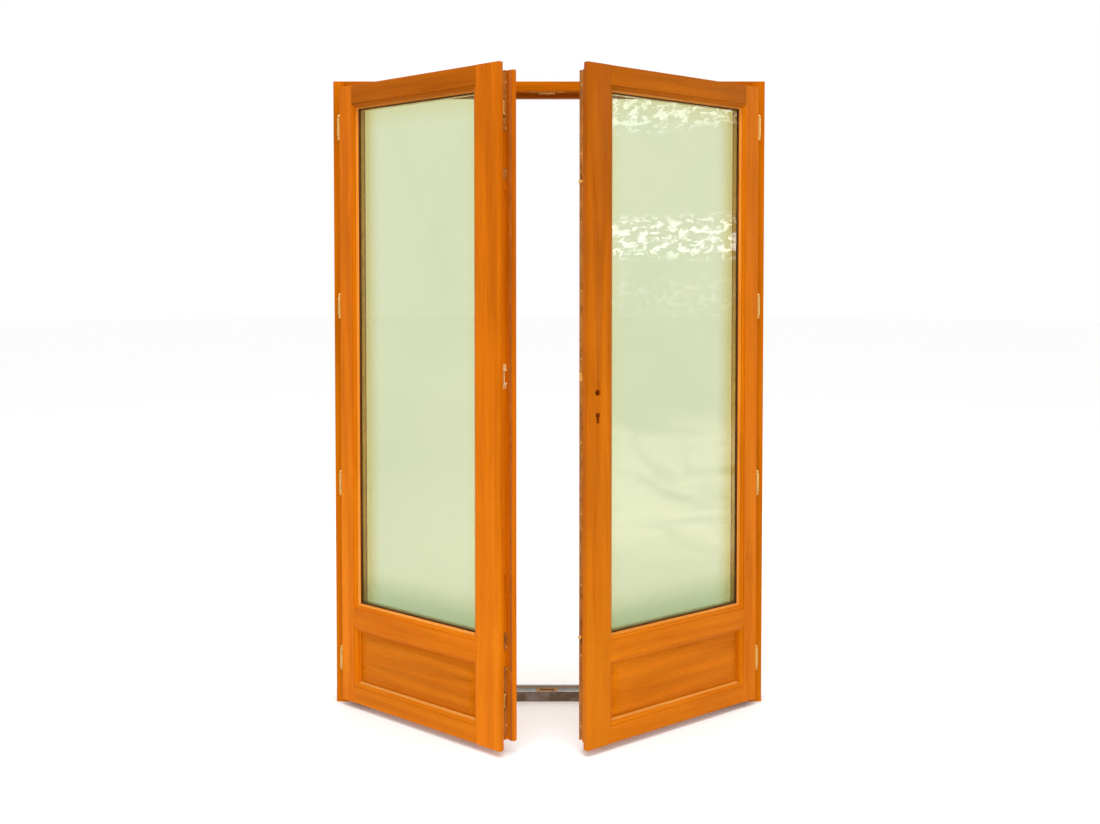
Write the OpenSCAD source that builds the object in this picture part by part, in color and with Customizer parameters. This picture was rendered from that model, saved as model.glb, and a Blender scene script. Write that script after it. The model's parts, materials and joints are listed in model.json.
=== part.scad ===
// Wooden french doors in their frame: two glazed leaves with a raised panel,
// opening inwards (towards -Y). The origin is the middle of the threshold's
// underside, at mid depth of the frame. +Z is up and +X is to the right
// when seen from inside.
//
// Each leaf is drawn in its own coordinates: u runs from the hinge pins towards
// the meeting edge, v from the room to the outside, both counted from the pins.

/* [Frame] */
// Overall width of the frame
frame_w = 1480; // [1300:1:1800]
// Overall height of the frame
frame_h = 2150; // [1950:1:2600]
// Depth of the jambs and of the head
frame_d = 58; // [54:1:90]
// Width of a jamb's front face
jamb_face = 42; // [38:1:80]
// Height of the head's front face
head_face = 35; // [30:1:80]
// How far the jambs' stop stands into the opening
jamb_stop = 15; // [12:1:25]
// How far the head's stop hangs into the opening
head_stop = 16; // [13:1:25]
// Depth of the stop
stop_d = 17; // [12:1:30]
// Rounding of the long front edges of the wood
edge_round = 3; // [1:0.5:5]

/* [Threshold] */
// Height of the threshold
sill_h = 36; // [30:1:45]
// Depth of the threshold
sill_d = 80; // [70:1:120]
// Height of the threshold's outer nose
sill_nose = 20; // [12:1:28]
// Wall of the threshold's profile
sill_wall = 2.5; // [2:0.1:4]

/* [Leaves] */
// How far the left leaf stands open, degrees
left_open = 35.4; // [0:0.1:110]
// How far the right leaf stands open, degrees
right_open = 33.6; // [0:0.1:110]
// Thickness of the inner lip, which laps over the frame
lip_t = 18; // [16:1:24]
// Thickness of the middle layer, between lip and tongue
mid_t = 27; // [24:1:34]
// Thickness of the outer layer, which makes the tongue
outer_t = 13; // [10:1:18]
// Place of the joint between the leaves, from the middle
meet_x = -12.75; // [-30:0.25:30]
// Gap between the two leaves' inner faces
meet_gap = 3.5; // [3:0.1:5]
// Face of a hinge stile, up to its moulding
hinge_face = 59; // [50:1:90]
// Face of the left leaf's meeting stile
left_meet_face = 92.5; // [80:0.5:120]
// Face of the right leaf's meeting stile
right_meet_face = 87; // [80:0.5:120]
// Face of the top rail
top_face = 62; // [50:1:90]
// Face of the middle rail
mid_face = 61; // [50:1:120]
// Face of the bottom rail
bottom_face = 56; // [50:1:150]
// Height of the middle rail's lower edge
mid_low = 284; // [250:1:900]
// Width of the moulding round glass and panel
mould_w = 18; // [16:1:24]
// Length of the rails' tenons
tenon_l = 42; // [20:1:45]
// Thickness of the rails' tenons
tenon_t = 16; // [10:1:20]

/* [Glass and panel] */
// Thickness of one pane
pane_t = 4; // [3:0.5:6]
// Width of the spacer between the panes
spacer_w = 16; // [8:1:16]
// Thickness of the seal between the moulding and the glass
seal_t = 3; // [2:0.5:4]
// How far that seal shows inside the moulding
seal_show = 3; // [1:0.5:5]
// How far the panel's field stands proud of its edge
field_rise = 7; // [3:0.5:10]
// Width of the slope round the field
field_slope = 20; // [10:1:30]

/* [Hinges] */
// Number of hinges on a leaf
hinge_n = 4; // [3:1:5]
// Distance of the end hinges from the frame's ends
hinge_end = 160; // [130:1:300]
// Radius of a hinge barrel
barrel_r = 7; // [6:0.5:8]
// Length of a whole hinge
hinge_l = 88; // [80:1:110]
// Radius of a hinge pin
pin_r = 3; // [2.5:0.25:3.5]
// Radius of a hinge's screw shank
shank_r = 3.25; // [2.5:0.25:3.5]

/* [Locks] */
// Height of the handle's spindle
spindle_z = 1122; // [950:1:1250]
// Distance from the right leaf's edge to the spindle
backset = 41; // [35:1:45]
// Distance from the spindle down to the key cylinder
key_drop = 70; // [60:1:92]
// Radius of the spindle hole in the wood
spindle_r = 10; // [9:0.5:11]
// Height of the latch above the spindle
latch_rise = 49; // [45:1:55]
// Travel of the locking rods and of the flush bolts
bolt_travel = 20; // [16:1:22]
// Height of the upper roller, unlocked
roller_high = 1766; // [1700:1:1800]
// Height of the lower roller, unlocked
roller_low = 366; // [340:1:400]
// Radius of a flush bolt
bolt_r = 3.5; // [3:0.25:3.5]

/* [Fixing] */
// Number of fixing holes in each jamb
fix_n = 4; // [3:1:6]
// Height of the lowest fixing hole
fix_low = 260; // [220:1:400]
// Radius of a fixing hole
fix_r = 4; // [3:0.5:5]

/* [Hidden] */
$fn = 48;

// Clearances
slack = 0.05;         // radial, a pin or screw in its hole
run_gap = 0.1;        // radial, a bolt or hub in its guide
slide_gap = 0.3;      // each side, a latch or rod in its window
knuckle_gap = 0.3;    // between the two halves of a hinge
lip_gap = 3;          // lip to the frame's front face, at the least
stop_gap = 4;         // back of a shut leaf to the stop, at the least
side_gap = 4;         // leaf body to the jamb, and to the stop
tongue_gap = 3;       // tongue to the other leaf
glass_gap = 2;        // glass or panel to the rebate, all round

// Frame
front_y = -frame_d / 2;
back_y = frame_d / 2;
stop_y = back_y - stop_d;
jamb_in = frame_w / 2 - jamb_face;
stop_in = jamb_in - jamb_stop;
head_low = frame_h - head_face;
stop_low = head_low - head_stop;

// Pin axes: a barrel stands in front of the frame's face
pin_out = 22;
pin_x = frame_w / 2 - pin_out;
lip_front = -lip_t / 2;
lip_back = lip_t / 2;
tongue_v = lip_back + mid_t;
leaf_back = tongue_v + outer_t;
pin_y = min(front_y - lip_gap - lip_back, stop_y - stop_gap - leaf_back);
face_v = front_y - pin_y;

// Leaf outline
lip_edge = barrel_r + 2;
body_edge = pin_x - jamb_in + side_gap;
sill_lap = 16;
head_lap = 10;
sill_gap = 6;
head_gap = 10;
lip_low = sill_h - sill_lap;
lip_high = head_low + head_lap;
body_low = sill_h + sill_gap;
body_high = head_low - head_gap;
left_edge = pin_x + meet_x - meet_gap / 2;
right_edge = pin_x - meet_x - meet_gap / 2;

// Faces of the stiles and rails, where the mouldings begin
hinge_flat = lip_edge + hinge_face;
left_flat = left_edge - left_meet_face;
right_flat = right_edge - right_meet_face;
top_flat = lip_high - top_face;
mid_high = mid_low + mid_face;
bottom_flat = lip_low + bottom_face;
rebate_in = 4;        // the rebate's edge lies this far past the flat face
quirk = 2.5;
ovolo_r = mould_w - 7;

// Meeting joint
tongue_l = 20;
groove_d = 8;
groove_u = left_edge - groove_d;
tongue_u = left_edge + tongue_l;
right_step_v = tongue_v - tongue_gap;
right_step_u = 2 * pin_x - tongue_u - tongue_gap;

// Sealed glass unit
glass_v = lip_back + seal_t;
unit_t = 2 * pane_t + spacer_w;
bead_v = glass_v + unit_t;
bead_sink = 1;
spacer_h = 8;

// Hardware line: middle of the groove, and what lies on it
hw_in = 13;
hw_v = lip_back + hw_in;
hw_y = pin_y + hw_v;
plate_w = 16;
plate_t = 3;
plate_low = body_low + 6;
plate_high = body_high - 5;
rod_w = 11;
rod_t = 7.5;
rod_u = right_edge - plate_t - 1.5 - rod_t;
rod_axis_u = rod_u + rod_t / 2;
rod_x = pin_x - rod_axis_u;
tip_room = 2;
tip_l = 22;
bolt_u = groove_u - bolt_r - 1;
bolt_x = -pin_x + bolt_u;
keep_t = 2;
keep_mid = (rod_x + bolt_x) / 2 + 8;
keep_slot_l = abs(rod_x - bolt_x) + 2 * bolt_r + 18;
keep_slot_w = 2 * bolt_r + 2;
keep_w = 19;

// Lock case
case_t = 14;
case_wall = 1.5;
case_u = right_edge - backset - 17;
case_low = spindle_z - key_drop - 64;
case_high = spindle_z + latch_rise + 34;
spindle_u = right_edge - backset;
key_z = spindle_z - key_drop;
key_r = 8.5;
key_web = 10;
key_h = 33;
cylinder_screw_r = 2.6;
hub_r = 8.5;
follower_r = 14;
spindle_sq = 7;
latch_z = spindle_z + latch_rise;
latch_h = 26;
latch_w = 11;
latch_out = 10;
latch_l = 38;
neck_r = 3;
roller_r = 5;
roller_l = 7;

// Screws
screw_r = 2;
screw_head_r = 3.5;
screw_head_t = 2;

// ---------------------------------------------------------------- helpers

function arc(cx, cy, r, a0, a1, n = 6) =
  [for (i = [0:n]) [cx + r * cos(a0 + (a1 - a0) * i / n), cy + r * sin(a0 + (a1 - a0) * i / n)]];

// Moulding, as distance past the flat edge and depth below the face
mould_line = concat(
  [[0, 0], [0, quirk], [2, quirk]],
  arc(2, quirk + ovolo_r, ovolo_r, -90, 0, 8),
  [[2 + ovolo_r, quirk + ovolo_r + 1], [mould_w, quirk + ovolo_r + 1], [mould_w, lip_t]]
);

// The moulding's section, from flat edge f towards the opening in direction dir
function mould_section(f, dir) =
  concat([for (p = mould_line) [f + dir * p[0], lip_front + p[1]]], [[f, lip_back]]);

// A flat shape in u and v, drawn up from z0 to z1
module up(z0, z1) {
  translate([0, 0, z0])
    linear_extrude(z1 - z0)
      children();
}

// A flat shape in v and z, drawn along u from u0 to u1
module along_u(u0, u1) {
  translate([u0, 0, 0])
    rotate([90, 0, 90])
      linear_extrude(u1 - u0)
        children();
}

// A flat shape in u and z, drawn along v from v0 to v1
module along_v(v0, v1) {
  translate([0, v1, 0])
    rotate([90, 0, 0])
      linear_extrude(v1 - v0)
        children();
}

module box(low, high) {
  translate(low)
    cube(high - low);
}

module bar_x(x0, x1, r) {
  translate([x0, 0, 0])
    rotate([0, 90, 0])
      cylinder(h = x1 - x0, r = r);
}

module bar_y(y0, y1, r) {
  translate([0, y0, 0])
    rotate([-90, 0, 0])
      cylinder(h = y1 - y0, r = r);
}

module on_left() {
  translate([-pin_x, pin_y, 0])
    rotate([0, 0, -left_open])
      children();
}

module on_right() {
  translate([pin_x, pin_y, 0])
    rotate([0, 0, right_open])
      mirror([1, 0, 0])
        children();
}

// Countersunk screw along +X, its head's face at 0 and its tip at length l
module screw(l, spare = 0) {
  cylinder_r = screw_r + spare;
  rotate([0, 90, 0]) {
    cylinder(h = screw_head_t, r1 = screw_head_r + spare, r2 = cylinder_r);
    cylinder(h = l + spare, r = cylinder_r);
  }
}

// The same, with the cross slot in its head
module slotted_screw(l) {
  difference() {
    screw(l);
    box([-1, -screw_head_r * 0.7, -0.5], [1, screw_head_r * 0.7, 0.5]);
    box([-1, -0.5, -screw_head_r * 0.7], [1, 0.5, screw_head_r * 0.7]);
  }
}

// ------------------------------------------------------------------ frame

hinge_step = (frame_h - 2 * hinge_end) / (hinge_n - 1);
hinge_zs = [for (i = [0:hinge_n - 1]) hinge_end + i * hinge_step];
fix_step = 540;
fix_y = -8;
shank_spread = [10, 25];
frame_shank = 26;
leaf_shank = 34;
head_tenon = 25;

module jamb_body() {
  up(0, frame_h)
    polygon(concat(
      [[frame_w / 2, back_y], [frame_w / 2, front_y]],
      arc(jamb_in + edge_round, front_y + edge_round, edge_round, 270, 180),
      [[jamb_in, back_y]]
    ));
  box([stop_in, stop_y, sill_h], [jamb_in + 1, back_y, head_low]);
}

// The right jamb; the left one is its mirror image
module jamb() {
  difference() {
    jamb_body();
    for (i = [0:fix_n - 1])
      translate([0, fix_y, fix_low + i * fix_step])
        bar_x(jamb_in - 1, frame_w / 2 + 1, fix_r);
    for (z = hinge_zs)
      for (s = shank_spread)
        translate([pin_x, 0, z - s])
          bar_y(front_y - 1, front_y + frame_shank + 1, shank_r + slack);
    head_tenon_box(slack);
    for (p = jamb_screw_places)
      translate([frame_w / 2, p[0], p[1]])
        mirror([1, 0, 0])
          screw(jamb_face + 30, slack);
  }
}

module head_tenon_box(spare) {
  box(
    [jamb_in - 1, front_y + 14 - spare, head_low + 8 - spare],
    [jamb_in + head_tenon + spare, stop_y - 6 + spare, frame_h - 8 + spare]
  );
}

jamb_screw_places = [[front_y + 8, sill_h / 2], [back_y - 8, sill_h / 2]];

module jamb_left() {
  color("darkorange")
    mirror([1, 0, 0])
      jamb();
}

module jamb_right() {
  color("darkorange")
    jamb();
}

module head() {
  color("darkorange")
    difference() {
      union() {
        along_u(-jamb_in, jamb_in)
          polygon(concat(
            [[back_y, frame_h], [front_y, frame_h]],
            arc(front_y + edge_round, head_low + edge_round, edge_round, 180, 270),
            [[back_y, head_low]]
          ));
        box([-stop_in, stop_y, stop_low], [stop_in, back_y, head_low + 1]);
        head_tenon_box(0);
        mirror([1, 0, 0])
          head_tenon_box(0);
      }
      keep_slot(head_low - 1, head_low + bolt_travel - head_gap + 6);
      for (x = head_keep_screws)
        translate([x, hw_y, head_low - keep_t])
          rotate([0, -90, 0])
            screw(24, slack);
    }
}

// Hollow aluminium profile, flat under the leaves and sloping outside
sill_back = front_y + sill_d;
sill_rib = 6;

module threshold() {
  color("silver")
    difference() {
      along_u(-jamb_in, jamb_in)
        polygon(concat(
          [[front_y, 0]],
          arc(front_y + 1.5, sill_h - 1.5, 1.5, 180, 90),
          [[back_y, sill_h], [sill_back - 2, sill_nose], [sill_back, sill_nose - 2], [sill_back, 0]]
        ));
      along_u(-frame_w, frame_w) {
        polygon([
          [front_y + sill_wall, sill_wall], [front_y + sill_wall, sill_h - sill_wall],
          [sill_rib - sill_wall, sill_h - sill_wall], [sill_rib - sill_wall, sill_wall]
        ]);
        polygon([
          [sill_rib, sill_wall], [sill_rib, sill_h - sill_wall],
          [back_y - sill_wall, sill_h - sill_wall], [back_y - sill_wall, sill_wall]
        ]);
        polygon([
          [back_y, sill_wall], [back_y, sill_h - 2 * sill_wall - 1],
          [sill_back - sill_wall, sill_nose - 2 * sill_wall], [sill_back - sill_wall, sill_wall]
        ]);
      }
      keep_slot(sill_h - 2 * sill_wall, sill_h + 1);
      for (x = sill_keep_screws)
        translate([x, hw_y, sill_h + keep_t])
          rotate([0, 90, 0])
            screw(10, slack);
    }
}

gasket_w = 5;
gasket_gap = 0.3;

// Seal on the stop, up both jambs and across the head
module frame_gasket() {
  color("saddlebrown")
    along_v(pin_y + leaf_back + gasket_gap, stop_y)
      difference() {
        translate([-stop_in - gasket_w, body_low])
          square([2 * (stop_in + gasket_w), stop_low + gasket_w - body_low]);
        translate([-stop_in - 0.5, body_low - 1])
          square([2 * stop_in + 1, stop_low + 1.5 - body_low]);
      }
}

module threshold_gasket() {
  color("dimgray")
    along_u(-stop_in, stop_in)
      polygon([
        [2, sill_h], [10, sill_h], [9, sill_h + 3], [5, body_low - gasket_gap],
        [3, body_low - gasket_gap], [4, sill_h + 3]
      ]);
}

head_keep_l = 112;
head_block_l = 56;
head_block_t = 8;
head_keep_screws = [keep_mid - 46, keep_mid + 46];
sill_keep_l = 76;
sill_keep_screws = [keep_mid - 32.5, keep_mid + 32.5];

module keep_slot(z0, z1) {
  translate([keep_mid, hw_y, 0])
    box([-keep_slot_l / 2, -keep_slot_w / 2, z0], [keep_slot_l / 2, keep_slot_w / 2, z1]);
}

module head_keep() {
  color("goldenrod")
    difference() {
      translate([keep_mid, hw_y, 0]) {
        box([-head_keep_l / 2, -keep_w / 2, head_low - keep_t],
            [head_keep_l / 2, keep_w / 2, head_low]);
        box([-head_block_l / 2, -keep_w / 2 + 1, head_low - head_block_t],
            [head_block_l / 2, keep_w / 2 - 1, head_low]);
      }
      keep_slot(head_low - head_block_t - 1, head_low + 1);
      for (x = head_keep_screws)
        translate([x, hw_y, head_low - keep_t])
          rotate([0, -90, 0])
            screw(24, slack);
    }
}

module threshold_keep() {
  color("goldenrod")
    difference() {
      translate([keep_mid, hw_y, 0])
        box([-sill_keep_l / 2, -keep_w / 2, sill_h], [sill_keep_l / 2, keep_w / 2, sill_h + keep_t]);
      keep_slot(sill_h - 1, sill_h + keep_t + 1);
      for (x = sill_keep_screws)
        translate([x, hw_y, sill_h + keep_t])
          rotate([0, 90, 0])
            screw(10, slack);
    }
}

module keep_screws() {
  color("gold") {
    for (x = head_keep_screws)
      translate([x, hw_y, head_low - keep_t])
        rotate([0, -90, 0])
          slotted_screw(24);
    for (x = sill_keep_screws)
      translate([x, hw_y, sill_h + keep_t])
        rotate([0, 90, 0])
          slotted_screw(10);
  }
}

// Screws through the jambs into the threshold's ends
module jamb_screws() {
  color("silver")
    for (side = [0, 1])
      mirror([side, 0, 0])
        for (p = jamb_screw_places)
          translate([frame_w / 2, p[0], p[1]])
            mirror([1, 0, 0])
              slotted_screw(jamb_face + 30);
}

// ----------------------------------------------------------------- hinges

finial_l = 12;
half_l = (hinge_l - knuckle_gap) / 2;

// One knuckle standing on z = 0, with its bore from below and its finial on top
module knuckle() {
  difference() {
    rotate_extrude()
      polygon(concat(
        [[0, 0], [barrel_r - 0.4, 0], [barrel_r, 0.4], [barrel_r, half_l - finial_l - 0.6],
         [barrel_r - 0.6, half_l - finial_l], [barrel_r - 1.4, half_l - finial_l + 0.8],
         [barrel_r - 0.8, half_l - finial_l + 2]],
        arc(0, half_l - barrel_r + 0.8, barrel_r - 0.8, 0, 90, 8)
      ));
    translate([0, 0, -1])
      cylinder(h = half_l - finial_l + 1, r = pin_r + slack);
  }
}

module frame_half() {
  for (z = hinge_zs)
    translate([0, 0, z])
      mirror([0, 0, 1])
        translate([0, 0, knuckle_gap / 2]) {
          knuckle();
          for (s = shank_spread)
            translate([0, 0, s - knuckle_gap / 2])
              bar_y(pin_r + 1.5, face_v + frame_shank, shank_r);
        }
}

module frame_hinges() {
  color("gold") {
    translate([-pin_x, pin_y, 0])
      frame_half();
    translate([pin_x, pin_y, 0])
      frame_half();
  }
}

module hinge_pins() {
  color("lightgray")
    for (x = [-pin_x, pin_x])
      for (z = hinge_zs)
        translate([x, pin_y, z - half_l + finial_l + 2])
          cylinder(h = 2 * (half_l - finial_l - 2), r = pin_r);
}

module leaf_half() {
  for (z = hinge_zs)
    translate([0, 0, z + knuckle_gap / 2]) {
      knuckle();
      for (s = shank_spread)
        translate([0, 0, s - knuckle_gap / 2])
          bar_x(pin_r + 1.5, lip_edge + leaf_shank, shank_r);
    }
}

// ----------------------------------------------------------- leaf woodwork

rail_bodies = [
  [body_low, bottom_flat + rebate_in],
  [mid_low - rebate_in, mid_high + rebate_in],
  [top_flat - rebate_in, body_high]
];
tenon_inset = 6;
tenon_v = [lip_back + 7, lip_back + 7 + tenon_t];

// Mortises for the three rails, from the rebate's edge r into the stile, in direction dir
module mortises(r, dir) {
  for (b = rail_bodies)
    box(
      [min(r - dir, r + dir * (tenon_l + 2)), tenon_v[0] - slack, b[0] + tenon_inset - slack],
      [max(r - dir, r + dir * (tenon_l + 2)), tenon_v[1] + slack, b[1] - tenon_inset + slack]
    );
}

module hinge_stile() {
  rebate = hinge_flat + rebate_in;
  difference() {
    union() {
      up(lip_low, lip_high)
        polygon(concat(
          arc(lip_edge + edge_round, lip_front + edge_round, edge_round, 180, 270),
          mould_section(hinge_flat, 1),
          [[lip_edge, lip_back]]
        ));
      up(body_low, body_high)
        polygon([[body_edge, lip_back - 1], [rebate - 1, lip_back - 1], [rebate, lip_back],
                 [rebate, leaf_back], [body_edge, leaf_back]]);
    }
    mortises(rebate, -1);
    for (z = hinge_zs)
      for (s = shank_spread)
        translate([0, 0, z + s])
          bar_x(lip_edge - 1, lip_edge + leaf_shank + 1, shank_r + slack);
  }
}

// Lip and moulding of a meeting stile with its edge at e and its flat face ending at f
module meeting_lip(e, f) {
  up(lip_low, lip_high)
    polygon(concat(
      [[e, lip_back]],
      arc(e - edge_round, lip_front + edge_round, edge_round, 0, -90),
      mould_section(f, -1)
    ));
}

module left_meeting_body() {
  rebate = left_flat - rebate_in;
  up(body_low, body_high)
    polygon([
      [rebate + 1, lip_back - 1], [groove_u, lip_back - 1], [groove_u, tongue_v],
      [tongue_u, tongue_v], [tongue_u, leaf_back], [rebate, leaf_back], [rebate, lip_back]
    ]);
}

module right_meeting_body() {
  rebate = right_flat - rebate_in;
  up(body_low, body_high)
    polygon([
      [rebate + 1, lip_back - 1], [right_edge, lip_back - 1], [right_edge, right_step_v],
      [right_step_u, right_step_v], [right_step_u, leaf_back], [rebate, leaf_back],
      [rebate, lip_back]
    ]);
}

// Edges of a rail's lip as points in v and z: a plain edge is rounded at the face, and an
// edge next to an opening at the height z carries the moulding. Low edges run from the back
// of the lip to its face, and high edges run back again.
function reversed(points) = [for (i = [len(points) - 1:-1:0]) points[i]];
function moulded(z, dir) = [for (p = mould_line) [lip_front + p[1], z + dir * p[0]]];
function moulded_low(z) = reversed(moulded(z, -1));
function moulded_high(z) = moulded(z, 1);
function plain_low(z) =
  concat([[lip_back, z]], arc(lip_front + edge_round, z + edge_round, edge_round, 270, 180));
function plain_high(z) =
  concat(arc(lip_front + edge_round, z - edge_round, edge_round, 180, 90), [[lip_back, z]]);

// Lip of a rail, scribed over the mouldings of both stiles
module rail_lip(low_points, high_points, f) {
  difference() {
    along_u(hinge_flat, f)
      polygon(concat(low_points, high_points));
    stile_mouldings(f);
  }
}

module stile_mouldings(f) {
  up(0, frame_h) {
    polygon(mould_section(hinge_flat, 1));
    polygon(mould_section(f, -1));
  }
}

// Body and tenons of the rail with the body heights b
module rail_body(b, f) {
  r0 = hinge_flat + rebate_in;
  r1 = f - rebate_in;
  box([r0, lip_back - 1, b[0]], [r1, leaf_back, b[1]]);
  box([r0 - tenon_l, tenon_v[0], b[0] + tenon_inset], [r1 + tenon_l, tenon_v[1], b[1] - tenon_inset]);
}

// The body reaches 1 mm into the lip, to join it, between the stiles' mouldings
module rail_core(b, f) {
  difference() {
    rail_body(b, f);
    stile_mouldings(f);
    box([0, lip_back - 2, b[0]], [hinge_flat + rebate_in, lip_back, b[1]]);
  }
}

module top_rail(f) {
  rail_lip(moulded_low(top_flat), plain_high(lip_high), f);
  rail_core(rail_bodies[2], f);
}

module mid_rail(f) {
  rail_lip(moulded_low(mid_low), moulded_high(mid_high), f);
  rail_core(rail_bodies[1], f);
}

module bottom_rail(f) {
  rail_lip(plain_low(lip_low), moulded_high(bottom_flat), f);
  rail_core(rail_bodies[0], f);
}

// ------------------------------------------------------- glass and panel

glass_low = mid_high + rebate_in + glass_gap;
glass_high = top_flat - rebate_in - glass_gap;
glass_u = hinge_flat + rebate_in + glass_gap;

module ring(u0, u1, z0, z1, w) {
  difference() {
    translate([u0, z0])
      square([u1 - u0, z1 - z0]);
    translate([u0 + w, z0 + w])
      square([u1 - u0 - 2 * w, z1 - z0 - 2 * w]);
  }
}

module pane(f, v) {
  box([glass_u, v, glass_low], [f - rebate_in - glass_gap, v + pane_t, glass_high]);
}

spacer_in = mould_w - rebate_in - glass_gap + seal_show + 1;

module spacer(f) {
  g1 = f - rebate_in - glass_gap;
  inset = spacer_in - spacer_h;
  along_v(glass_v + pane_t, glass_v + pane_t + spacer_w)
    ring(glass_u + inset, g1 - inset, glass_low + inset, glass_high - inset, spacer_h);
}

module edge_seal(f) {
  along_v(glass_v + pane_t, glass_v + pane_t + spacer_w)
    ring(glass_u, f - rebate_in - glass_gap, glass_low, glass_high, spacer_in - spacer_h);
}

module glazing_gasket(f) {
  along_v(lip_back, glass_v)
    ring(glass_u, f - rebate_in - glass_gap, glass_low, glass_high,
         mould_w - rebate_in - glass_gap + seal_show);
}

bead_w = mould_w - rebate_in;
bead_chamfer = 6;
mitre_gap = 0.3;

// Bead along the lower side of a rebate, mitred at both ends
module low_bead(u0, u1, z0) {
  intersection() {
    along_u(u0, u1)
      polygon([
        [bead_v, z0], [leaf_back - bead_sink, z0],
        [leaf_back - bead_sink, z0 + bead_w - bead_chamfer], [bead_v + 4, z0 + bead_w],
        [bead_v, z0 + bead_w]
      ]);
    along_v(bead_v - 1, leaf_back)
      polygon([
        [u0 + mitre_gap, z0], [u1 - mitre_gap, z0],
        [u1 - bead_w - mitre_gap, z0 + bead_w], [u0 + bead_w + mitre_gap, z0 + bead_w]
      ]);
  }
}

// Bead along the hinge side of a rebate
module side_bead(u0, z0, z1) {
  intersection() {
    up(z0, z1)
      polygon([
        [u0, bead_v], [u0, leaf_back - bead_sink], [u0 + bead_w - bead_chamfer, leaf_back - bead_sink],
        [u0 + bead_w, bead_v + 4], [u0 + bead_w, bead_v]
      ]);
    along_v(bead_v - 1, leaf_back)
      polygon([[u0, z0], [u0 + bead_w, z0 + bead_w], [u0 + bead_w, z1 - bead_w], [u0, z1]]);
  }
}

module bead_set(u0, u1, z0, z1) {
  low_bead(u0, u1, z0);
  translate([0, 0, z0 + z1])
    mirror([0, 0, 1])
      low_bead(u0, u1, z0);
  side_bead(u0, z0, z1);
  translate([u0 + u1, 0, 0])
    mirror([1, 0, 0])
      side_bead(u0, z0, z1);
}

module beads(f) {
  u0 = hinge_flat + rebate_in;
  u1 = f - rebate_in;
  bead_set(u0, u1, mid_high + rebate_in, top_flat - rebate_in);
  bead_set(u0, u1, bottom_flat + rebate_in, mid_low - rebate_in);
}

// Raised field: sloping sides, rising from v0 to v1 inside the outline
module field(u0, u1, z0, z1, v0, v1) {
  intersection() {
    up(z0, z1)
      polygon([[u0, v0], [u1, v0], [u1 - field_slope, v1], [u0 + field_slope, v1]]);
    along_u(u0, u1)
      polygon([[v0, z0], [v0, z1], [v1, z1 - field_slope], [v1, z0 + field_slope]]);
  }
}

module raised_panel(f) {
  u0 = hinge_flat + rebate_in + glass_gap;
  u1 = f - rebate_in - glass_gap;
  z0 = bottom_flat + rebate_in + glass_gap;
  z1 = mid_low - rebate_in - glass_gap;
  show = mould_w - rebate_in - glass_gap + 4;
  box([u0, lip_back, z0], [u1, bead_v, z1]);
  field(u0 + show, u1 - show, z0 + show, z1 - show, lip_back, lip_back - field_rise);
  field(u0 + show, u1 - show, z0 + show, z1 - show, bead_v, bead_v + field_rise);
}

bar_start = pin_x - stop_in + 4;
bar_end = 44;
bar_reach = 28;

// Drip rail along the foot of the leaf's outer face, with its drip groove
module weather_bar(edge) {
  z0 = body_low + 4;
  difference() {
    along_u(bar_start, edge - bar_end)
      polygon(concat(
        [[leaf_back, z0], [leaf_back + bar_reach, z0]],
        arc(leaf_back + bar_reach - 4, z0 + 7, 4, 0, 60, 4),
        [[leaf_back + 8, z0 + 36], [leaf_back, z0 + 40]]
      ));
    along_u(bar_start - 1, edge)
      translate([leaf_back + bar_reach - 8, z0])
        circle(r = 2.5);
  }
}

// ------------------------------------------- hardware in the left leaf's edge

strike_v0 = hw_v - 9;
strike_v1 = hw_v + 9;
strike_h = 74;
strike_box_h = 43;
strike_wall = 3;
strike_rise = 7.5;
top_case = [1922, 2100];
bottom_case = [57, 272];
keep_h = 34;
low_keep_h = 55;
keep_wall_v = [lip_back + 0.5, hw_v - roller_r - 0.5];
upper_keep_z = [roller_high + roller_r + 2, roller_high + roller_r + 2 + keep_h];
lower_keep_z = [roller_low - roller_r - 2 - keep_h, roller_low - roller_r - 2 - keep_h + low_keep_h];

module centre_strike() {
  color("gold")
    difference() {
      union() {
        box([groove_u, strike_v0, latch_z - strike_h / 2],
            [groove_u + keep_t, strike_v1, latch_z + strike_h / 2]);
        box([groove_u, strike_v0 + 1, latch_z - strike_box_h / 2],
            [groove_u + strike_rise, strike_v1 - 1, latch_z + strike_box_h / 2]);
      }
      box([groove_u - 1, hw_v - latch_w / 2 - 0.5, latch_z - strike_box_h / 2 + strike_wall],
          [groove_u + strike_rise + 1, strike_v1, latch_z + strike_box_h / 2 - strike_wall]);
      for (z = strike_screw_zs)
        translate([groove_u + keep_t, hw_v, z])
          mirror([1, 0, 0])
            screw(16, slack);
    }
}

strike_screw_zs = [latch_z - strike_h / 2 + 7, latch_z + strike_h / 2 - 7];

// Plate with a wall on the room side, behind which the roller runs
module roller_keep(zs, wall_zs, screw_z) {
  color("goldenrod")
    difference() {
      union() {
        along_u(groove_u, groove_u + keep_t)
          polygon(concat(
            arc(lip_back + 3, zs[0] + 3, 2.5, 180, 270, 4), arc(tongue_v - 3, zs[0] + 3, 2.5, 270, 360, 4),
            arc(tongue_v - 3, zs[1] - 3, 2.5, 0, 90, 4), arc(lip_back + 3, zs[1] - 3, 2.5, 90, 180, 4)
          ));
        box([groove_u, keep_wall_v[0], wall_zs[0]], [left_edge - 0.5, keep_wall_v[1], wall_zs[1]]);
      }
      translate([groove_u + keep_t, tongue_v - 6, screw_z])
        mirror([1, 0, 0])
          screw(16, slack);
    }
}

module left_upper_keep() {
  on_left()
    roller_keep(upper_keep_z, [upper_keep_z[0] + 3, upper_keep_z[1] - 3], upper_keep_z[1] - 8);
}

module left_lower_keep() {
  on_left()
    roller_keep(lower_keep_z, [lower_keep_z[0] + 3, lower_keep_z[0] + keep_h - 3], lower_keep_z[0] + 8);
}

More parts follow.
